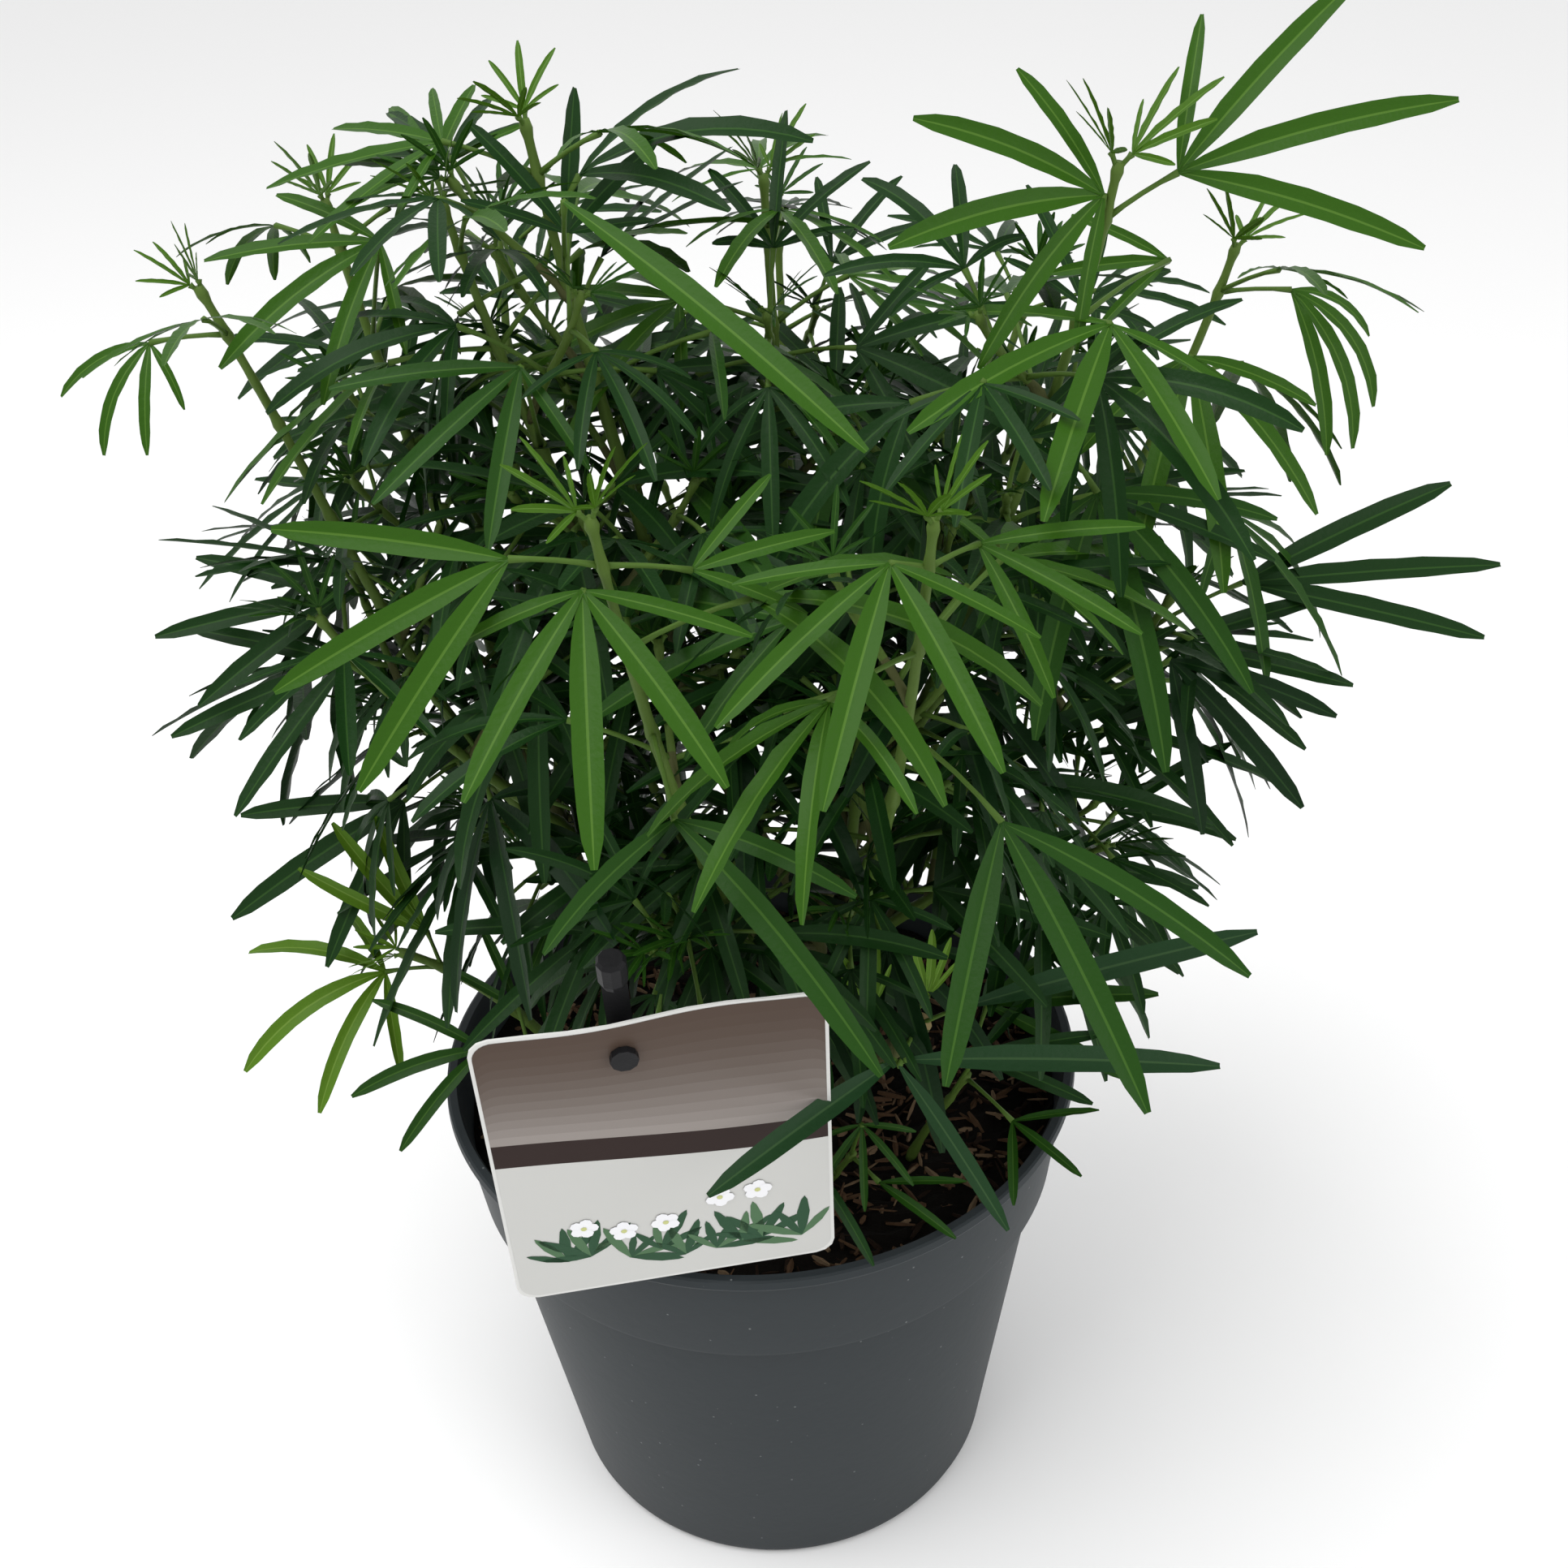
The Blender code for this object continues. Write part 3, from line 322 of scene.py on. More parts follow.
# Leaves with a place of their own: shoot, pair, side, hub (mm), heading and rise of the middle finger
# (degrees), lean of the fan towards the front, blade (mm), fingers, degrees between them, droop.
PLACED_LEAVES = (
    ("right_top", 1, 0, (102, -30, 422), 0, 20, 55, 61, 4, 31, 12),
    ("right_top", 1, 1, (86, -30, 418), -160, 5, 60, 52, 5, 34, 20),
    ("right_top", 2, 0, (86, -44, 394), -115, -15, 30, 60, 5, 40, 15),
    ("right_top", 2, 1, (110, 6, 390), 180, 0, 50, 28, 3, 36, 15),
    ("right_second", 2, 0, (114, -6, 370), -80, -40, 30, 57, 5, 34, 25),
    ("right_second", 1, 0, (148, 30, 372), -45, -30, 30, 48, 4, 26, 50),
    ("left_outer", 1, 0, (-134, 0, 386), -145, -30, 40, 30, 4, 40, 40),
    ("left_back", 2, 0, (-78, 10, 404), -150, -15, 40, 48, 5, 36, 20),
    ("front_left", 1, 0, (-44, -100, 374), -175, -20, 50, 59, 3, 34, 8),
    ("front_left", 2, 0, (-30, -100, 366), -90, -35, 20, 56, 5, 36, 15),
    ("front_left", 1, 1, (-8, -90, 364), 10, 10, 45, 30, 3, 36, 10),
    ("front_right", 1, 0, (32, -100, 368), -110, -30, 20, 55, 5, 38, 12),
    ("front_right", 1, 1, (52, -86, 364), -35, -10, 45, 40, 3, 34, 15),
    ("top_left", 2, 0, (-30, -40, 426), -40, -20, 40, 90, 1, 36, 12),
    ("left_mid", 3, 0, (-44, -34, 388), -145, -20, 40, 48, 4, 40, 12),
    ("left_side", 1, 0, (-100, 0, 316), 180, -5, 40, 50, 3, 30, 8),
    ("left_side", 2, 0, (-100, -10, 302), -175, -15, 40, 54, 3, 32, 8),
    ("right_side", 1, 0, (134, 0, 304), 0, 5, 40, 68, 3, 20, 6),
    ("right_side", 2, 0, (112, -16, 296), -5, -10, 40, 52, 3, 30, 10),
    ("right_side", 3, 0, (108, -34, 302), -50, -25, 40, 50, 3, 34, 15),
    ("left_low", 1, 0, (-98, 20, 238), -170, -25, 45, 60, 4, 30, 10),
    ("front_low", 1, 0, (-12, -50, 260), -115, -30, 40, 44, 5, 36, 12),
    ("right_low", 1, 0, (84, -10, 224), -30, -30, 40, 50, 5, 34, 15),
    ("left_shoot", 1, 0, (-108, 0, 192), -155, 10, 30, 52, 5, 40, 45),
    ("left_shoot", 1, 1, (-94, 0, 206), 180, 55, 50, 46, 3, 20, -8),
    ("stub", 0, 0, (34, -90, 224), -55, -30, 20, 46, 1, 40, 10),
    ("stub", 2, 0, (33, -88, 224), -142, -3, 40, 62, 1, 40, 5),
    ("stub", 2, 1, (36, -88, 224), 5, -4, 40, 80, 1, 40, 8),
    ("stub", 0, 1, (54, -60, 216), 5, 10, 40, 80, 1, 30, 5),
    ("stub", 1, 0, (30, -66, 224), 180, 80, 60, 22, 5, 17, -5),
    ("stub", 1, 1, (44, -64, 224), 0, 85, 60, 22, 5, 17, -5),
    ("base_front", 0, 0, (26, -66, 182), -90, -40, 20, 24, 5, 42, 20),
    ("base_front", 0, 1, (30, -70, 164), -45, -5, 30, 27, 2, 40, 10),
    ("base_front", 1, 0, (12, -80, 182), -105, -45, 30, 35, 2, 40, 20),
    ("base_right", 0, 0, (68, -58, 172), -50, 0, 30, 27, 3, 48, 10),
    ("base_right", 0, 1, (64, -34, 194), 0, 5, 40, 50, 3, 34, 10),
    ("base_right", 1, 0, (60, -44, 184), 0, 15, 40, 37, 3, 34, 10),
    ("base_left", 0, 0, (-78, -30, 186), -170, 5, 45, 40, 3, 36, 30),
    ("base_left", 0, 1, (-68, -20, 192), 125, 60, 45, 26, 3, 36, 10),
)

SOIL_NAMES = tuple(row[0] for row in SOIL_SHOOTS)
# Shoots whose leaves take the lighter tones as painted sunlight
SUNLIT_SHOOTS = ("left_outer", "left_mid", "top_centre", "top_left", "right_top", "right_second",
                "front_left", "front_right", "left_back")
YOUNG_SHOOTS = ("left_shoot",)


def unit(v):
    """v at length 1."""
    return v / np.linalg.norm(v)


def heading(azimuth, rise):
    """Direction from its compass angle (0 is +X, 90 is +Y) and its rise above the horizon."""
    a = math.radians(azimuth)
    e = math.radians(rise)
    return np.array([math.cos(a) * math.cos(e), math.sin(a) * math.cos(e), math.sin(e)])


def turned(v, toward, angle):
    """v swung towards another direction."""
    side = toward - v * (v @ toward)
    size = np.linalg.norm(side)
    if size < 1e-9:
        return v
    return v * math.cos(angle) + side / size * math.sin(angle)


def spun(v, axis, angle):
    """v turned about an axis."""
    across = np.cross(axis, v) * math.sin(angle)
    return v * math.cos(angle) + across + axis * (axis @ v) * (1 - math.cos(angle))


class Line:
    """A stem's centre line: a cubic from root to tip whose ends are pulled towards the sky."""

    def __init__(self, root, tip, foot_pull, top_pull):
        span = np.linalg.norm(tip - root)
        go = unit(tip - root)
        low = root + unit(go + foot_pull * UP) * span * LINE_PULL
        high = tip - unit(go + top_pull * UP) * span * LINE_PULL
        t = np.linspace(0, 1, LINE_STEPS)[:, None]
        self.points = (1 - t) ** 3 * root + 3 * (1 - t) ** 2 * t * low
        self.points = self.points + 3 * (1 - t) * t * t * high + t ** 3 * tip
        steps_long = np.linalg.norm(np.diff(self.points, axis=0), axis=1)
        self.run = np.concatenate(([0.0], np.cumsum(steps_long)))
        self.length = self.run[-1]

    def at(self, metres):
        """Point at a distance from the root."""
        return np.array([np.interp(metres, self.run, self.points[:, k]) for k in range(3)])

    def way(self, metres):
        """Direction of growth at a distance from the root."""
        ahead = self.at(min(self.length, metres + LINE_LOOK))
        return unit(ahead - self.at(max(0.0, metres - LINE_LOOK)))


def finger_line(finger, steps):
    """Centre line of a finger of a leaf, which bends towards the ground by its droop in all."""
    points = [finger["root"]]
    for i in range(FINGER_BENDS):
        bend = finger["droop"] * (i + 0.5) / FINGER_BENDS
        way = turned(finger["way"], -UP if bend > 0 else UP, abs(bend))
        points.append(points[-1] + way * finger["length"] / FINGER_BENDS)
    points = np.array(points)
    shares = np.linspace(0, FINGER_BENDS, steps + 1)
    marks = range(FINGER_BENDS + 1)
    return np.array([[np.interp(x, marks, points[:, k]) for k in range(3)] for x in shares])


def fan(hub, axis, normal, blade, count, step, droop, rng, jitter):
    """The fingers of one leaf, spread about its axis."""
    normal = unit(normal - axis * (axis @ normal))
    side = np.cross(normal, axis)
    fingers = []
    for k in FAN_ORDER[:count]:
        angle = math.radians(k * step + rng.uniform(-FAN_STRAY, FAN_STRAY) * jitter)
        way = unit(axis * math.cos(angle) + side * math.sin(angle))
        length = blade * FAN_LENGTHS[k] * rng.uniform(*FINGER_RANGE)
        fingers.append({
            "root": hub,
            "way": way,
            "normal": normal,
            "length": length,
            "droop": droop * rng.uniform(*FINGER_DROOP),
            "broad": rng.uniform(*FINGER_BREADTH),
        })
    return fingers


def free_leaf(line, metres, turn, pair, blade, rng):
    """A leaf whose place and spread follow from its pair and the seeded draws."""
    foot = line.at(metres)
    way = line.way(metres)
    across = unit(np.array([1.0, 0.0, 0.0]) - way * way[0])
    out = spun(across, way, turn)
    age = 1 - PAIR_YOUTH[pair]
    spread = YOUNG_SPREAD + (OLD_SPREAD - YOUNG_SPREAD) * age
    spread = math.radians(spread + rng.uniform(-SPREAD_STRAY, SPREAD_STRAY))
    go = unit(way * math.cos(spread) + out * math.sin(spread))
    growth = PETIOLE_GROWTH * age + rng.uniform(-PETIOLE_STRAY, PETIOLE_STRAY) * age
    petiole = (PETIOLE_YOUNG + growth) * blade / USUAL_BLADE
    middle = foot + go * petiole * PETIOLE_BEND
    bent = turned(go, -UP, math.radians(YOUNG_SAG + (OLD_SAG - YOUNG_SAG) * age))
    hub = middle + bent * petiole * (1 - PETIOLE_BEND)
    size = blade * PAIR_SIZES[pair] * rng.uniform(*BLADE_RANGE)
    count = 5 if pair < 2 or rng.random() < FIVE_FINGERED else rng.choice((3, 4))
    axis = turned(bent, -UP, math.radians(rng.uniform(*BLADE_HANG) * age))
    lifted = UP * FACE_UP + way * FACE_ALONG
    roll = math.radians(rng.uniform(-FACE_STRAY, FACE_STRAY))
    normal = spun(unit(lifted - axis * (axis @ lifted)), axis, roll)
    droop = math.radians(rng.uniform(*DROOP_RANGE) * (YOUNG_DROOP + (1 - YOUNG_DROOP) * age))
    step = BUD_FINGER_STEP if pair == 0 else FINGER_STEP
    fingers = fan(hub, axis, normal, size, count, step, droop, rng, 1.0)
    return {"foot": foot, "middle": middle, "hub": hub, "pair": pair, "fingers": fingers, "placed": False}


def placed_leaf(line, metres, row, pair, rng):
    """A leaf with a place of its own."""
    hub_mm, azimuth, rise, lean, blade_mm, count, step, droop = row
    foot = line.at(metres)
    hub = np.array(hub_mm) * MM
    lean = math.radians(lean)
    normal = UP * math.cos(lean) + FRONT * math.sin(lean)
    middle = (foot + hub) / 2 + UP * np.linalg.norm(hub - foot) * PETIOLE_ARCH
    fingers = fan(hub, heading(azimuth, rise), normal, blade_mm * MM, count, step,
                  math.radians(droop), rng, PLACED_JITTER)
    return {"foot": foot, "middle": middle, "hub": hub, "pair": pair, "fingers": fingers, "placed": True}


def shoot_leaves(name, line, pairs, turn, blade):
    """Leaves in crossed pairs down from the tip of a shoot."""
    own = {(row[1], row[2]): row[3:] for row in PLACED_LEAVES if row[0] == name}
    leaves = []
    for pair in range(pairs):
        metres = max(LOWEST_PAIR, line.length - PAIR_DROPS[pair])
        for side in (0, 1):
            rng = random.Random(f"{name}-{pair}-{side}")
            if (pair, side) in own:
                leaves.append(placed_leaf(line, metres, own[(pair, side)], pair, rng))
                continue
            if name in SOIL_NAMES and pair > 0:
                continue
            stray = rng.uniform(-PAIR_STRAY, PAIR_STRAY)
            angle = math.radians(turn + 90 * pair + 180 * side + stray)
            leaves.append(free_leaf(line, metres, angle, pair, blade, rng))
    return leaves


def grow():
    """Centre line and leaves of every shoot."""
    lines = {"trunk": Line(np.array(TRUNK_FOOT), np.array(TRUNK_TOP), *TRUNK_PULLS)}
    leaves = {}
    for name, parent, share, tip, foot_pull, top_pull, pairs, turn, blade in SHOOTS:
        root = lines[parent].at(share * lines[parent].length)
        lines[name] = Line(root, np.array(tip) * MM, foot_pull, top_pull)
        leaves[name] = shoot_leaves(name, lines[name], pairs, turn, blade * MM)
    for name, foot, tip, foot_pull, top_pull, pairs, turn, blade, _ in SOIL_SHOOTS:
        root = np.array([foot[0] * MM, foot[1] * MM, SOIL_HEIGHT + GAP])
        lines[name] = Line(root, np.array(tip) * MM, foot_pull, top_pull)
        leaves[name] = shoot_leaves(name, lines[name], pairs, turn, blade * MM)
    return lines, leaves


def tube(points, radii, sides):
    """Closed tube along points."""
    verts = []
    faces = []
    points = [np.array(p) for p in points]
    ways = [unit(points[min(i + 1, len(points) - 1)] - points[max(i - 1, 0)]) for i in range(len(points))]
    across = np.cross(ways[0], ASKEW)
    for i, point in enumerate(points):
        across = unit(across - ways[i] * (across @ ways[i]))
        over = np.cross(ways[i], across)
        for k in range(sides):
            angle = 2 * math.pi * k / sides
            offset = across * math.cos(angle) + over * math.sin(angle)
            verts.append(point + offset * radii[i])
    for i in range(len(points) - 1):
        for k in range(sides):
            a = i * sides + k
            b = i * sides + (k + 1) % sides
            faces.append((a, b, b + sides, a + sides))
    faces.append(tuple(reversed(range(sides))))
    last = (len(points) - 1) * sides
    faces.append(tuple(range(last, last + sides)))
    return verts, faces


def turned_solid(profile, sides):
    """Closed body of revolution about +Z from (radius, height) pairs."""
    verts = []
    rings = []
    for radius, height in profile:
        if radius == 0.0:
            rings.append([len(verts)])
            verts.append(np.array([0.0, 0.0, height]))
            continue
        rings.append(list(range(len(verts), len(verts) + sides)))
        for k in range(sides):
            angle = 2 * math.pi * k / sides
            verts.append(np.array([radius * math.cos(angle), radius * math.sin(angle), height]))
    faces = []
    for low, high in zip(rings, rings[1:]):
        for k in range(sides):
            n = (k + 1) % sides
            if len(low) == 1:
                faces.append((low[0], high[n], high[k]))
            elif len(high) == 1:
                faces.append((low[k], low[n], high[0]))
            else:
                faces.append((low[k], low[n], high[n], high[k]))
    return verts, faces


def pot_outside():
    """Outer profile of the pot from the middle of its foot to its rim."""
    collar = POT_RIM_HEIGHT - POT_COLLAR_DROP
    bead = POT_RIM_HEIGHT - POT_BEAD_DROP
    return [
        (0.0, 0.0),
        (POT_BASE_RADIUS - POT_EDGE, 0.0),
        (POT_BASE_RADIUS - 0.3 * POT_EDGE, 0.25 * POT_EDGE),
        (POT_BASE_RADIUS, POT_EDGE),
        (POT_BODY_RADIUS, collar - 0.0015),
        (POT_COLLAR_RADIUS - 0.0004, collar),
        (POT_COLLAR_RADIUS, collar + 0.0012),
        (POT_RIM_RADIUS - 0.0024, bead - 0.0006),
        (POT_RIM_RADIUS - 0.0005, bead),
        (POT_RIM_RADIUS, bead + 0.0010),
        (POT_RIM_RADIUS - 0.0003, POT_RIM_HEIGHT - 0.0004),
        (POT_RIM_RADIUS - 0.0010, POT_RIM_HEIGHT),
    ]


def pot_inside():
    """Inner profile of the pot from its rim to the middle of its floor."""
    collar = POT_RIM_HEIGHT - POT_COLLAR_DROP
    return [
        (POT_RIM_RADIUS - POT_WALL - 0.0014, POT_RIM_HEIGHT),
        (POT_RIM_RADIUS - POT_WALL - 0.0024, POT_RIM_HEIGHT - 0.0020),
        (POT_COLLAR_RADIUS - POT_WALL, collar + 0.0025),
        (POT_BODY_RADIUS - POT_WALL, collar),
        (POT_BASE_RADIUS - POT_WALL, POT_EDGE + 0.0010),
        (POT_BASE_RADIUS - POT_WALL - POT_EDGE, POT_FLOOR),
        (0.0, POT_FLOOR),
    ]


def card_frame():
    """Placement of the card: its own +Z is up the card and its own -Y is its printed side."""
    tilt, roll, yaw = (math.radians(a) for a in CARD_TURN)
    turn = Matrix.Rotation(yaw, 4, "Z") @ Matrix.Rotation(roll, 4, "Y") @ Matrix.Rotation(tilt, 4, "X")
    return Matrix.Translation(CARD_TOP) @ turn


def card_outline():
    """Outline of the card with rounded corners and a slightly wavy top edge."""
    half = CARD_WIDTH / 2
    corners = ((half, 0.0, 0.0), (-half, 0.0, 90.0), (-half, -CARD_HEIGHT, 180.0),
               (half, -CARD_HEIGHT, 270.0))
    outline = []
    for x, z, first in corners:
        middle_x = x - math.copysign(CARD_CORNER, x)
        middle_z = z - CARD_CORNER if z == 0.0 else z + CARD_CORNER
        for k in range(4):
            angle = math.radians(first + 30 * k)
            outline.append((middle_x + CARD_CORNER * math.cos(angle),
                            middle_z + CARD_CORNER * math.sin(angle)))
        if z == 0.0 and x > 0:
            for k in range(1, 8):
                share = k / 8
                wave = CARD_WAVE * math.sin(2 * math.pi * share) * math.sin(math.pi * share)
                outline.append((half - CARD_CORNER - share * (CARD_WIDTH - 2 * CARD_CORNER), wave))
    return outline


def material(name, colour, roughness, grain, relief, stretch=(1, 1, 1)):
    """Principled material whose surface has a fine procedural relief."""
    made = bpy.data.materials.new(name)
    made.use_nodes = True
    nodes = made.node_tree.nodes
    links = made.node_tree.links
    shader = nodes["Principled BSDF"]
    shader.inputs["Base Color"].default_value = (*colour, 1.0)
    shader.inputs["Roughness"].default_value = roughness
    shader.inputs["Specular IOR Level"].default_value = SHINE
    place = nodes.new("ShaderNodeTexCoord")
    spread = nodes.new("ShaderNodeMapping")
    spread.inputs["Scale"].default_value = stretch
    links.new(place.outputs["Object"], spread.inputs["Vector"])
    noise = nodes.new("ShaderNodeTexNoise")
    noise.inputs["Scale"].default_value = grain
    noise.inputs["Detail"].default_value = 4.0
    links.new(spread.outputs["Vector"], noise.inputs["Vector"])
    bump = nodes.new("ShaderNodeBump")
    bump.inputs["Strength"].default_value = relief
    bump.inputs["Distance"].default_value = RELIEF_DEPTH
    links.new(noise.outputs["Fac"], bump.inputs["Height"])
    links.new(bump.outputs["Normal"], shader.inputs["Normal"])
    return made


def speckled(made, colour, cloud_colour, speck_colour, speck_scale):
    """Gives a material a cloudy tint and small pale specks."""
    nodes = made.node_tree.nodes
    links = made.node_tree.links
    spread = nodes["Mapping"]
    cells = nodes.new("ShaderNodeTexVoronoi")
    cells.inputs["Scale"].default_value = speck_scale
    links.new(spread.outputs["Vector"], cells.inputs["Vector"])
    dots = nodes.new("ShaderNodeMapRange")
    dots.inputs["From Min"].default_value = SPECK_CORE
    dots.inputs["From Max"].default_value = SPECK_EDGE
    dots.inputs["To Min"].default_value = 1.0
    dots.inputs["To Max"].default_value = 0.0
    links.new(cells.outputs["Distance"], dots.inputs["Value"])
    cloud = nodes.new("ShaderNodeTexNoise")
    cloud.inputs["Scale"].default_value = CLOUD_SCALE
    cloud.inputs["Detail"].default_value = 6.0
    links.new(spread.outputs["Vector"], cloud.inputs["Vector"])
    tint = nodes.new("ShaderNodeMix")
    tint.data_type = "RGBA"
    tint.inputs["A"].default_value = (*colour, 1.0)
    tint.inputs["B"].default_value = (*cloud_colour, 1.0)
    links.new(cloud.outputs["Fac"], tint.inputs["Factor"])
    spots = nodes.new("ShaderNodeMix")
    spots.data_type = "RGBA"
    spots.inputs["B"].default_value = (*speck_colour, 1.0)
    links.new(dots.outputs["Result"], spots.inputs["Factor"])
    links.new(tint.outputs["Result"], spots.inputs["A"])
    links.new(spots.outputs["Result"], nodes["Principled BSDF"].inputs["Base Color"])
    return made


class Sheaf:
    """Mesh parts that are gathered into one object."""

    def __init__(self):
        self.verts = []
        self.faces = []
        self.slots = []

    def add(self, verts, faces, slot=0):
        """Adds a part whose faces take one material slot, or one each."""
        base = len(self.verts)
        self.verts.extend(tuple(float(c) for c in v) for v in verts)
        self.faces.extend(tuple(base + i for i in face) for face in faces)
        if isinstance(slot, int):
            slot = [slot] * len(faces)
        self.slots.extend(slot)

    def object(self, name, materials, smooth=True):
        """Makes the object and puts it in the scene."""
        mesh = bpy.data.meshes.new(name)
        mesh.from_pydata(self.verts, [], self.faces)
        for each in materials:
            mesh.materials.append(each)
        mesh.polygons.foreach_set("material_index", self.slots)
        mesh.polygons.foreach_set("use_smooth", [smooth] * len(self.faces))
        mesh.update()
        obj = bpy.data.objects.new(name, mesh)
        bpy.context.scene.collection.objects.link(obj)
        return obj


def finger_shape(t):
    """Half width of a finger along its length, 1 at its broadest, with a blunt tip."""
    rise = 1 - (1 - min(1.0, t / FINGER_SWELL_END)) ** 1.7
    past = max(0.0, (t - FINGER_TIP_START) / FINGER_TIP_LENGTH)
    fall = math.sqrt(max(0.0, 1 - past ** 2.5))
    return (FINGER_FOOT + (1 - FINGER_FOOT) * rise) * fall


def finger_mesh(finger, rng):
    """Fine blade with a trough, wavy margins and a midrib in slot 1."""
    line = finger_line(finger, FINGER_ROWS)
    half = min(finger["length"] * FINGER_BROAD, FINGER_WIDEST) * finger["broad"] / 2
    phase = rng.uniform(0, 6.28)
    curl = rng.uniform(-FINGER_CURL, FINGER_CURL)
    verts = []
    for i in range(FINGER_ROWS + 1):
        t = i / FINGER_ROWS
        way = unit(line[min(i + 1, FINGER_ROWS)] - line[max(i - 1, 0)])
        side = unit(np.cross(finger["normal"], way))
        over = np.cross(way, side)
        side = side * math.cos(curl * t) + over * math.sin(curl * t)
        over = np.cross(way, side)
        wide = half * finger_shape(t)
        for u in FINGER_COLUMNS:
            swing = math.sin(FINGER_WAVES * math.pi * t + phase + (FINGER_WAVE_SHIFT if u > 0 else 0))
            lift = (FINGER_TROUGH * abs(u) + FINGER_WAVE * swing * abs(u) ** 3) * wide
            verts.append(line[i] + side * u * wide + over * lift)
    faces = []
    slots = []
    columns = len(FINGER_COLUMNS)
    for i in range(FINGER_ROWS):
        for k in range(columns - 1):
            a = i * columns + k
            faces.append((a, a + 1, a + 1 + columns, a + columns))
            slots.append(1 if k == columns // 2 - 1 else 0)
    return verts, faces, slots


def clear_of_things(points, frame_in):
    """Whether a finger stays off the pot's wall, the compost and the card."""
    for point in points:
        radius = math.hypot(point[0], point[1])
        if radius < SOIL_REACH and point[2] < SOIL_HEIGHT + KEEP_OFF:
            return False
        in_wall = POT_BODY_RADIUS - WALL_DEPTH < radius < POT_RIM_RADIUS + KEEP_OFF
        if in_wall and point[2] < POT_RIM_HEIGHT + KEEP_OFF:
            return False
        own = frame_in @ Vector(point)
        beside = abs(own[0]) < CARD_WIDTH / 2 + CARD_SIDE_ROOM
        level = -CARD_HEIGHT - CARD_SIDE_ROOM < own[2] < CARD_TOP_ROOM
        if beside and level and abs(own[1]) < CARD_FACE_ROOM:
            return False
    return True


def hides_card(points, frame_in):
    """Whether a finger that has no place of its own hangs before the card."""
    for point in points:
        own = frame_in @ Vector(point)
        beside = abs(own[0]) < CARD_WIDTH / 2 + VIEW_SIDE_ROOM
        if beside and own[2] < VIEW_TOP_ROOM and own[1] < VIEW_FACE_ROOM:
            return True
    return False


def tone_of(name, pair):
    """Tone of a leaf from its shoot and its pair: shoots in the sun take lighter tones as painted sunlight,
    the other shoots darker ones as painted shade, and each shoot is lighter at its tip, partly as young
    growth and partly as painted light.
    """
    if name in YOUNG_SHOOTS:
        return "young"
    if name in SUNLIT_SHOOTS:
        return SUNLIT_TONES[pair]
    if name == "stub":
        return "young" if pair == 1 else "grey"
    return SHADED_TONES[pair]


def fill_twigs(lines):
    """Side twigs on the bare part of every shoot, by the same rule and within the crown's reach."""
    twigs = {}
    for name, *_ in SHOOTS:
        line = lines[name]
        for number, share in enumerate(FILL_SHARES):
            rng = random.Random(f"fill-{name}-{number}")
            root = line.at(share * line.length)
            out = heading(rng.uniform(0, 360), rng.uniform(*FILL_RISE))
            go = unit(out + FILL_AHEAD * line.way(share * line.length))
            tip = root + go * FILL_TWIG * rng.uniform(*FILL_RANGE)
            if tip[2] < FILL_LOWEST or tip[1] < FILL_FRONT or math.hypot(tip[0], tip[1]) > FILL_REACH:
                continue
            twigs[f"{name}_fill_{number}"] = Line(root, tip, *FILL_PULLS)
    return twigs


def fill_leaves(key, line):
    """Crossed pairs of leaves down from the tip of a side twig."""
    leaves = []
    for pair, drop in enumerate(FILL_DROPS):
        for side in (0, 1):
            rng = random.Random(f"{key}-{pair}-{side}")
            metres = max(LOWEST_PAIR, line.length - drop)
            stray = rng.uniform(-FILL_STRAY, FILL_STRAY)
            angle = math.radians(90 * pair + 180 * side + stray)
            leaves.append(free_leaf(line, metres, angle, pair, FILL_BLADE, rng))
    return leaves


def stalk_tube(leaf):
    """Curved stalk of a leaf from its shoot to the hub of its fingers."""
    curve = []
    for k in range(len(STALK_RADII)):
        t = k / (len(STALK_RADII) - 1)
        curve.append((1 - t) ** 2 * leaf["foot"] + 2 * (1 - t) * t * leaf["middle"] + t * t * leaf["hub"])
    return tube(curve, STALK_RADII, STALK_SIDES)


def build_leaves(leaves, frame_in):
    """One object for each tone: blades in slot 0, midribs in slot 1 and stalks in slot 2."""
    sheaves = {tone: Sheaf() for tone in TONES}
    for name, rows in leaves.items():
        for number, leaf in enumerate(rows):
            rng = random.Random(f"look-{name}-{number}")
            sheaf = sheaves[tone_of(name, leaf["pair"])]
            kept = 0
            for finger in leaf["fingers"]:
                points = finger_line(finger, FINGER_BENDS)
                if not clear_of_things(points[1:], frame_in):
                    continue
                if not leaf["placed"] and hides_card(points, frame_in):
                    continue
                verts, faces, slots = finger_mesh(finger, rng)
                sheaf.add(verts, faces, slots)
                kept += 1
            if kept:
                verts, faces = stalk_tube(leaf)
                sheaf.add(verts, faces, 2)
    made = []
    stalk = material("leaf_stalk", STALK_COLOUR, 0.5, 900.0, 0.15)
    for tone, sheaf in sheaves.items():
        blade, rib = TONES[tone]
        looks = [material("leaf_" + tone, blade, 0.42, 700.0, 0.25),
                 material("rib_" + tone, rib, 0.45, 900.0, 0.15), stalk]
        made.append((tone, sheaf.object("leaves_" + tone, looks)))
    return made


def stem_rows(side_twigs):
    """Name, radius at the foot and radius at the tip of every stem."""
    rows = [("trunk", TRUNK_RADII[-2], TRUNK_RADII[-1])]
    rows += [(name, *SHOOT_RADII) for name, *_ in SHOOTS]
    for name, *_, radius in SOIL_SHOOTS:
        taper = 1.0 if name == "stub" else SOIL_SHOOT_TAPER
        rows.append((name, radius * MM, radius * MM * taper))
    rows += [(key, *FILL_RADII) for key in side_twigs]
    return rows


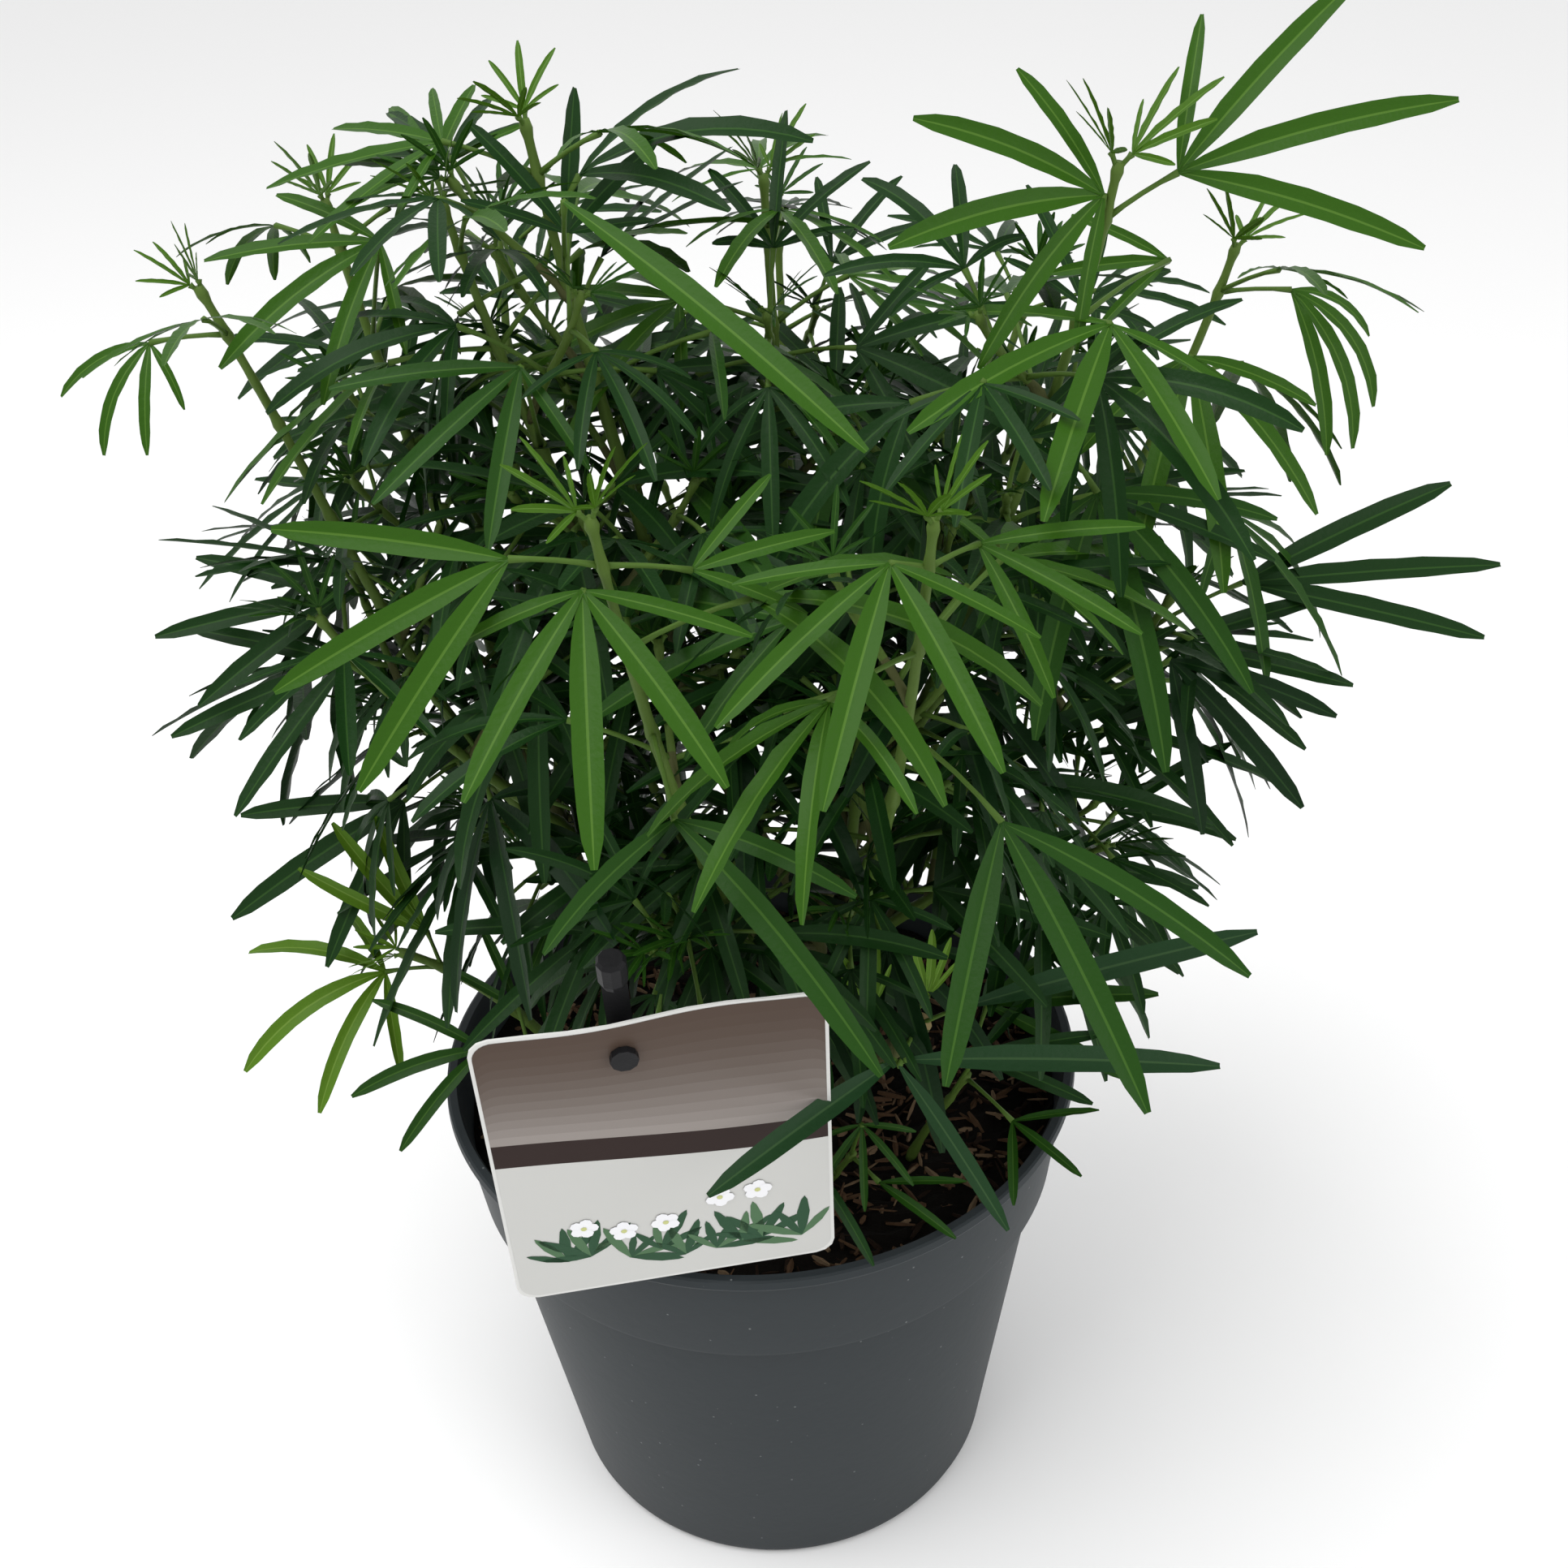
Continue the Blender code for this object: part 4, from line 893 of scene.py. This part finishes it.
def stem_radii(name, line, stations, low, high, rng):
    """Radii along a stem, which swell at the joints and waver a little."""
    radii = []
    for s in stations:
        radius = low + (high - low) * (s / line.length) ** STEM_TAPER
        if name == "trunk":
            radius = float(np.interp(s / line.length, TRUNK_RADII_AT, TRUNK_RADII))
        for drop in PAIR_DROPS:
            radius += JOINT_SWELL * math.exp(-((s - (line.length - drop)) / JOINT_LENGTH) ** 2)
        radii.append(radius * rng.uniform(*STEM_WAVER))
    return radii


def ridge_bark(verts, line, stations, rng):
    """Moves a stem's surface in and out in winding ridges."""
    for i, s in enumerate(stations):
        middle = line.at(s)
        for k in range(STEM_SIDES):
            out = verts[i * STEM_SIDES + k] - middle
            winding = BARK_WIND * math.sin(s * BARK_WIND_RATE)
            ridge = BARK_RIDGE * math.sin(k * BARK_PITCH + winding) + rng.uniform(-BARK_GRAIN, BARK_GRAIN)
            verts[i * STEM_SIDES + k] = middle + out * (1 + ridge)


def build_stems(lines):
    """Trunk, shoots and side twigs with bark ridges and swollen joints."""
    sheaf = Sheaf()
    green, bark, cut = range(3)
    side_twigs = [name for name in lines if "_fill_" in name]
    for name, low, high in stem_rows(side_twigs):
        line = lines[name]
        stations = np.linspace(0, line.length, max(6, int(line.length / STEM_STEP)))
        rng = random.Random("bark-" + name)
        radii = stem_radii(name, line, stations, low, high, rng)
        verts, faces = tube([line.at(s) for s in stations], radii, STEM_SIDES)
        ridge_bark(verts, line, stations, rng)
        slots = []
        for s in stations[:-1]:
            old = s / line.length < BARK_SHARE and name not in SOIL_NAMES
            slots += [bark if old or name in ("trunk", "stub") else green] * STEM_SIDES
        slots += [bark, cut if name == "stub" else green]
        sheaf.add(verts, faces, slots)
    looks = [material("stem_green", (0.072, 0.125, 0.022), 0.5, 600.0, 0.5, ALONG_STEM),
             material("stem_bark", (0.068, 0.076, 0.026), 0.7, 500.0, 0.9, ALONG_STEM),
             material("stem_cut", (0.28, 0.22, 0.10), 0.7, 900.0, 0.6)]
    return sheaf.object("stems", looks)


def build_pot():
    """Pot of speckled grey plastic with a rounded foot, a collar and a beaded rim."""
    sheaf = Sheaf()
    sheaf.add(*turned_solid(pot_outside() + pot_inside(), POT_SIDES))
    grey = (0.029, 0.034, 0.037)
    look = material("pot_plastic", grey, 0.5, 260.0, 0.12)
    speckled(look, grey, (0.025, 0.031, 0.034), (0.16, 0.17, 0.17), 170.0)
    pot = sheaf.object("pot_body", [look])
    pot.data.set_sharp_from_angle(angle=math.radians(POT_SHARP_ANGLE))
    return pot


def lumpy_ground(rng):
    """Round uneven surface of the compost."""
    verts = [np.array([0.0, 0.0, SOIL_HEIGHT])]
    for i in range(1, SOIL_RINGS + 1):
        for k in range(SOIL_SECTORS):
            angle = 2 * math.pi * k / SOIL_SECTORS
            radius = SOIL_RADIUS * i / SOIL_RINGS
            lump = rng.uniform(*SOIL_LUMP) + SOIL_SWELL * math.sin(radius * SOIL_SWELL_RATE + 3 * angle)
            verts.append(np.array([radius * math.cos(angle), radius * math.sin(angle), SOIL_HEIGHT + lump]))
    faces = [(0, 1 + k, 1 + (k + 1) % SOIL_SECTORS) for k in range(SOIL_SECTORS)]
    for i in range(SOIL_RINGS - 1):
        for k in range(SOIL_SECTORS):
            a = 1 + i * SOIL_SECTORS + k
            b = 1 + i * SOIL_SECTORS + (k + 1) % SOIL_SECTORS
            faces.append((a, a + SOIL_SECTORS, b + SOIL_SECTORS, b))
    return verts, faces


def build_soil():
    """Lumpy compost with wood chips and fibres."""
    sheaf = Sheaf()
    rng = random.Random("compost")
    sheaf.add(*lumpy_ground(rng))
    for _ in range(CHIP_COUNT):
        radius = CHIP_SPREAD * math.sqrt(rng.random())
        angle = rng.uniform(0, 2 * math.pi)
        height = SOIL_HEIGHT + rng.uniform(*CHIP_LIFT)
        centre = np.array([radius * math.cos(angle), radius * math.sin(angle), height])
        long = rng.uniform(*CHIP_LONG)
        go = heading(rng.uniform(0, 360), rng.uniform(-CHIP_TILT, CHIP_TILT)) * long / 2
        ends = (centre - go, centre + go)
        if any(math.hypot(end[0], end[1]) > CHIP_LIMIT for end in ends):
            continue
        thick = rng.uniform(*CHIP_THICK)
        verts, faces = tube([ends[0], centre, ends[1]], [thick * 0.6, thick, thick * 0.5], CHIP_SIDES)
        sheaf.add(verts, faces, rng.choice(CHIP_SLOTS))
    looks = [material("compost", (0.005, 0.004, 0.003), 0.95, 500.0, 1.0),
             material("chip_tan", (0.085, 0.048, 0.026), 0.85, 900.0, 0.6),
             material("chip_pale", (0.17, 0.115, 0.068), 0.85, 900.0, 0.6),
             material("chip_dark", (0.018, 0.010, 0.006), 0.9, 900.0, 0.6)]
    return sheaf.object("compost", looks, smooth=False)


def card_looks():
    """Strips that shade the upper part, then the card's other colours in their own order."""
    looks = []
    for k in range(PRINT_STRIPS):
        t = k / (PRINT_STRIPS - 1)
        colour = tuple(high * (1 - t) ** 1.2 + low * t + PRINT_GLOW * t ** 2
                       for high, low in zip(PRINT_UPPER, PRINT_LOWER))
        looks.append(material(f"card_upper_{k}", colour, 0.35, 300.0, 0.05))
    for name, colour in CARD_COLOURS.items():
        looks.append(material(name, colour, 0.4 if name == "card_edge" else 0.35, 300.0, 0.05))
    return looks


def card_slot(name):
    """Material slot of one of the card's named colours."""
    return PRINT_STRIPS + list(CARD_COLOURS).index(name)


def corner_cut(x):
    """How far the print draws back from an edge of the card at its rounded corners."""
    past = max(0.0, abs(x) - (PRINT_HALF - CARD_CORNER))
    return CARD_CORNER - math.sqrt(max(0.0, CARD_CORNER ** 2 - past ** 2))


def print_top(x):
    """Height of the print's wavy upper edge."""
    share = min(1.0, max(0.0, (PRINT_HALF - x) / (2 * PRINT_HALF)))
    wave = CARD_WAVE * math.sin(2 * math.pi * share) * math.sin(math.pi * share)
    return wave - PRINT_MARGIN - corner_cut(x)


def print_foot(x):
    """Height of the print's lower edge."""
    return -CARD_HEIGHT + PRINT_MARGIN + corner_cut(x)


def band_top(x):
    """Height of the upper edge of the dark band, which curves slightly."""
    return -BAND_DROP - BAND_SWELL * math.sin(BAND_CURVE * x / PRINT_HALF + BAND_LEAN)


def add_card_body(sheaf, place):
    """Both faces and the rim of the card."""
    outline = card_outline()
    edge = card_slot("card_edge")
    count = len(outline)
    sides = []
    for depth in (-CARD_THICK / 2, CARD_THICK / 2):
        sides.append([place @ Vector((x, depth, z)) for x, z in outline])
        sheaf.add(sides[-1], [tuple(range(count))], edge)
    rim = [(k, (k + 1) % count, (k + 1) % count + count, k + count) for k in range(count)]
    sheaf.add(sides[0] + sides[1], rim, edge)


def print_marks(x):
    """Heights at which the print changes its colour, from the top of the card to its foot."""
    top = print_top(x)
    band = band_top(x)
    marks = [top + (band - top) * k / PRINT_STRIPS for k in range(PRINT_STRIPS + 1)]
    return marks + [band - BAND_HEIGHT, print_foot(x)]


def add_print_ground(sheaf, place):
    """Shaded strips, the dark band and the pale part, in columns that crowd at the corners."""
    halves = PRINT_COLUMNS / 2
    columns = [PRINT_HALF * math.sin(math.pi / 2 * (k / halves - 1)) for k in range(PRINT_COLUMNS + 1)]
    for left, right in zip(columns, columns[1:]):
        marks_left = print_marks(left)
        marks_right = print_marks(right)
        for k in range(PRINT_STRIPS + 2):
            quad = [(left, marks_left[k]), (right, marks_right[k]), (right, marks_right[k + 1]),
                    (left, marks_left[k + 1])]
            sheaf.add([place @ Vector((x, PRINT_FRONT, z)) for x, z in quad], [(3, 2, 1, 0)], k)


def add_print(sheaf, place, points, name, lift):
    """One flat printed shape, left out where it would pass the card's edge."""
    if all(abs(x) < PRINT_HALF and z > -CARD_HEIGHT + 0.001 for x, z in points):
        depth = PRINT_FRONT - PRINT_LAYER - lift
        sheaf.add([place @ Vector((x, depth, z)) for x, z in points], [tuple(range(len(points)))],
                  card_slot(name))


def add_sprigs(sheaf, place, rng):
    """Row of small fans of leaves along the foot of the card."""
    for sprig in range(SPRIG_COUNT):
        foot_x = SPRIG_FOOT[0] + SPRIG_STEP * sprig + rng.uniform(*PRINT_STRAY)
        foot_z = SPRIG_FOOT[1] + rng.uniform(*SPRIG_LIFT)
        foot = np.array([foot_x, foot_z])
        lean = rng.uniform(-SPRIG_LEAN, SPRIG_LEAN)
        for k in range(SPRIG_BLADES):
            angle = math.radians(90 + lean + (k - SPRIG_BLADES // 2) * SPRIG_SPREAD)
            long = rng.uniform(*SPRIG_BLADE_LONG)
            go = np.array([math.cos(angle), math.sin(angle)])
            side = np.array([-go[1], go[0]])
            shape = [foot + go * long * t + side * long * SPRIG_BLADE_WIDE * w for t, w in SPRIG_OUTLINE]
            name = "print_leaf" if (k + sprig) % 3 else "print_leaf_pale"
            add_print(sheaf, place, [tuple(p) for p in shape], name, SPRIG_LAYER * k)


def disc(x, z, radius):
    """Eight points round a place on the card."""
    angles = [k * math.pi / 4 for k in range(8)]
    return [(x + radius * math.cos(a), z + radius * math.sin(a)) for a in angles]


def add_blooms(sheaf, place, rng):
    """White flowers of five round petals above the sprigs."""
    for bloom in range(BLOOM_COUNT):
        x = BLOOM_PLACE[0] + BLOOM_STEP * bloom + rng.uniform(*PRINT_STRAY)
        z = BLOOM_PLACE[1] + rng.uniform(*BLOOM_LIFT)
        for k in range(PETALS):
            angle = math.radians(360 / PETALS * k + BLOOM_TURN * bloom)
            petal = disc(x + math.cos(angle) * PETAL_REACH, z + math.sin(angle) * PETAL_REACH, PETAL_RADIUS)
            add_print(sheaf, place, petal, "print_petal", BLOOM_LAYER + PETAL_LAYER * k)
        add_print(sheaf, place, disc(x, z, HEART_RADIUS), "print_heart", HEART_LAYER)


def build_card(place):
    """Card with a shaded upper part, a dark band and a pale part with sprigs and flowers."""
    sheaf = Sheaf()
    add_card_body(sheaf, place)
    add_print_ground(sheaf, place)
    rng = random.Random("print")
    add_sprigs(sheaf, place, rng)
    add_blooms(sheaf, place, rng)
    return sheaf.object("card_face", card_looks(), smooth=False)


def build_camera():
    """The photograph's camera: close by, looking down at the pot."""
    pitch, roll, yaw = (math.radians(a) for a in CAMERA_TURN)
    forward = np.array([math.sin(yaw) * math.cos(pitch), math.cos(yaw) * math.cos(pitch), -math.sin(pitch)])
    level = np.array([math.cos(yaw), -math.sin(yaw), 0.0])
    above = np.cross(level, forward)
    right = math.cos(roll) * level + math.sin(roll) * above
    up = -math.sin(roll) * level + math.cos(roll) * above
    data = bpy.data.cameras.new("camera")
    data.sensor_width = SENSOR_MM
    data.lens = SENSOR_MM * FOCAL_PIXELS / PICTURE_PIXELS
    data.clip_start = CAMERA_NEAREST
    camera = bpy.data.objects.new("camera", data)
    turn = Matrix((right, up, -forward)).transposed().to_4x4()
    camera.matrix_world = Matrix.Translation(CAMERA_PLACE) @ turn
    bpy.context.scene.collection.objects.link(camera)
    bpy.context.scene.camera = camera


def build_stage():
    """Pale floor and soft studio light."""
    sheaf = Sheaf()
    corners = ((-1, -1), (1, -1), (1, 1), (-1, 1))
    sheaf.add([(x * FLOOR_HALF, y * FLOOR_HALF, FLOOR_DROP) for x, y in corners], [(0, 1, 2, 3)])
    ground = sheaf.object("floor", [material("floor", (0.92, 0.92, 0.92), 0.9, 30.0, 0.02)])
    world = bpy.data.worlds.new("studio")
    world.use_nodes = True
    shade = world.node_tree.nodes["Background"]
    shade.inputs["Color"].default_value = (1.0, 1.0, 1.0, 1.0)
    shade.inputs["Strength"].default_value = WORLD_STRENGTH
    bpy.context.scene.world = world
    for name, place, power, size in LIGHTS:
        data = bpy.data.lights.new(name, "AREA")
        data.energy = power
        data.size = size
        light = bpy.data.objects.new(name, data)
        light.location = place
        aim = Vector(LIGHTS_AIM) - Vector(place)
        light.rotation_euler = aim.to_track_quat("-Z", "Y").to_euler()
        bpy.context.scene.collection.objects.link(light)
    bpy.context.scene.view_settings.view_transform = "Standard"


def leaf_kind(name):
    """Colour slot of the leaves of a shoot: the leaves painted in sunlight, the young leaves or the dark
    leaves.
    """
    if name in YOUNG_SHOOTS:
        return "young_leaf"
    return "fresh_leaf" if name in SUNLIT_SHOOTS else "dark_leaf"


def main():
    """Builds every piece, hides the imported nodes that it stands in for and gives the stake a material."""
    place = card_frame()
    lines, leaves = grow()
    for key, line in fill_twigs(lines).items():
        lines[key] = line
        leaves[key] = fill_leaves(key, line)
    build_stage()
    build_camera()
    nodes = frame["nodes"]
    masses = [name for name in nodes if name.startswith("leaves_")]
    limbs = [name for name in nodes if name == "trunk" or name.startswith("bough_")]
    stems = build_stems(lines)
    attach(stems, "root")
    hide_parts(*limbs)
    kinds = {"young_leaf": [], "fresh_leaf": [], "dark_leaf": []}
    for name in masses:
        kinds[leaf_kind(name[len("leaves_"):])].append(name)
    # Light and fresh tones are the leaves painted in sunlight; every other tone falls to the dark leaves
    slots = {"young": "young_leaf", "light": "fresh_leaf", "fresh": "fresh_leaf"}
    for tone, obj in build_leaves(leaves, place.inverted()):
        slot = slots.get(tone, "dark_leaf")
        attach(obj, "root")
        if kinds[slot]:
            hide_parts(*kinds[slot])
            kinds[slot] = []
    pot = build_pot()
    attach(pot, "root")
    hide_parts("pot")
    soil = build_soil()
    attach(soil, "root")
    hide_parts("soil")
    card = build_card(place)
    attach(card, "root")
    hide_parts("tag")
    stake = nodes["tag_stake"]
    stake.data.materials.clear()
    stake.data.materials.append(material("stake_black", (0.010, 0.010, 0.011), 0.4, 400.0, 0.2))


main()
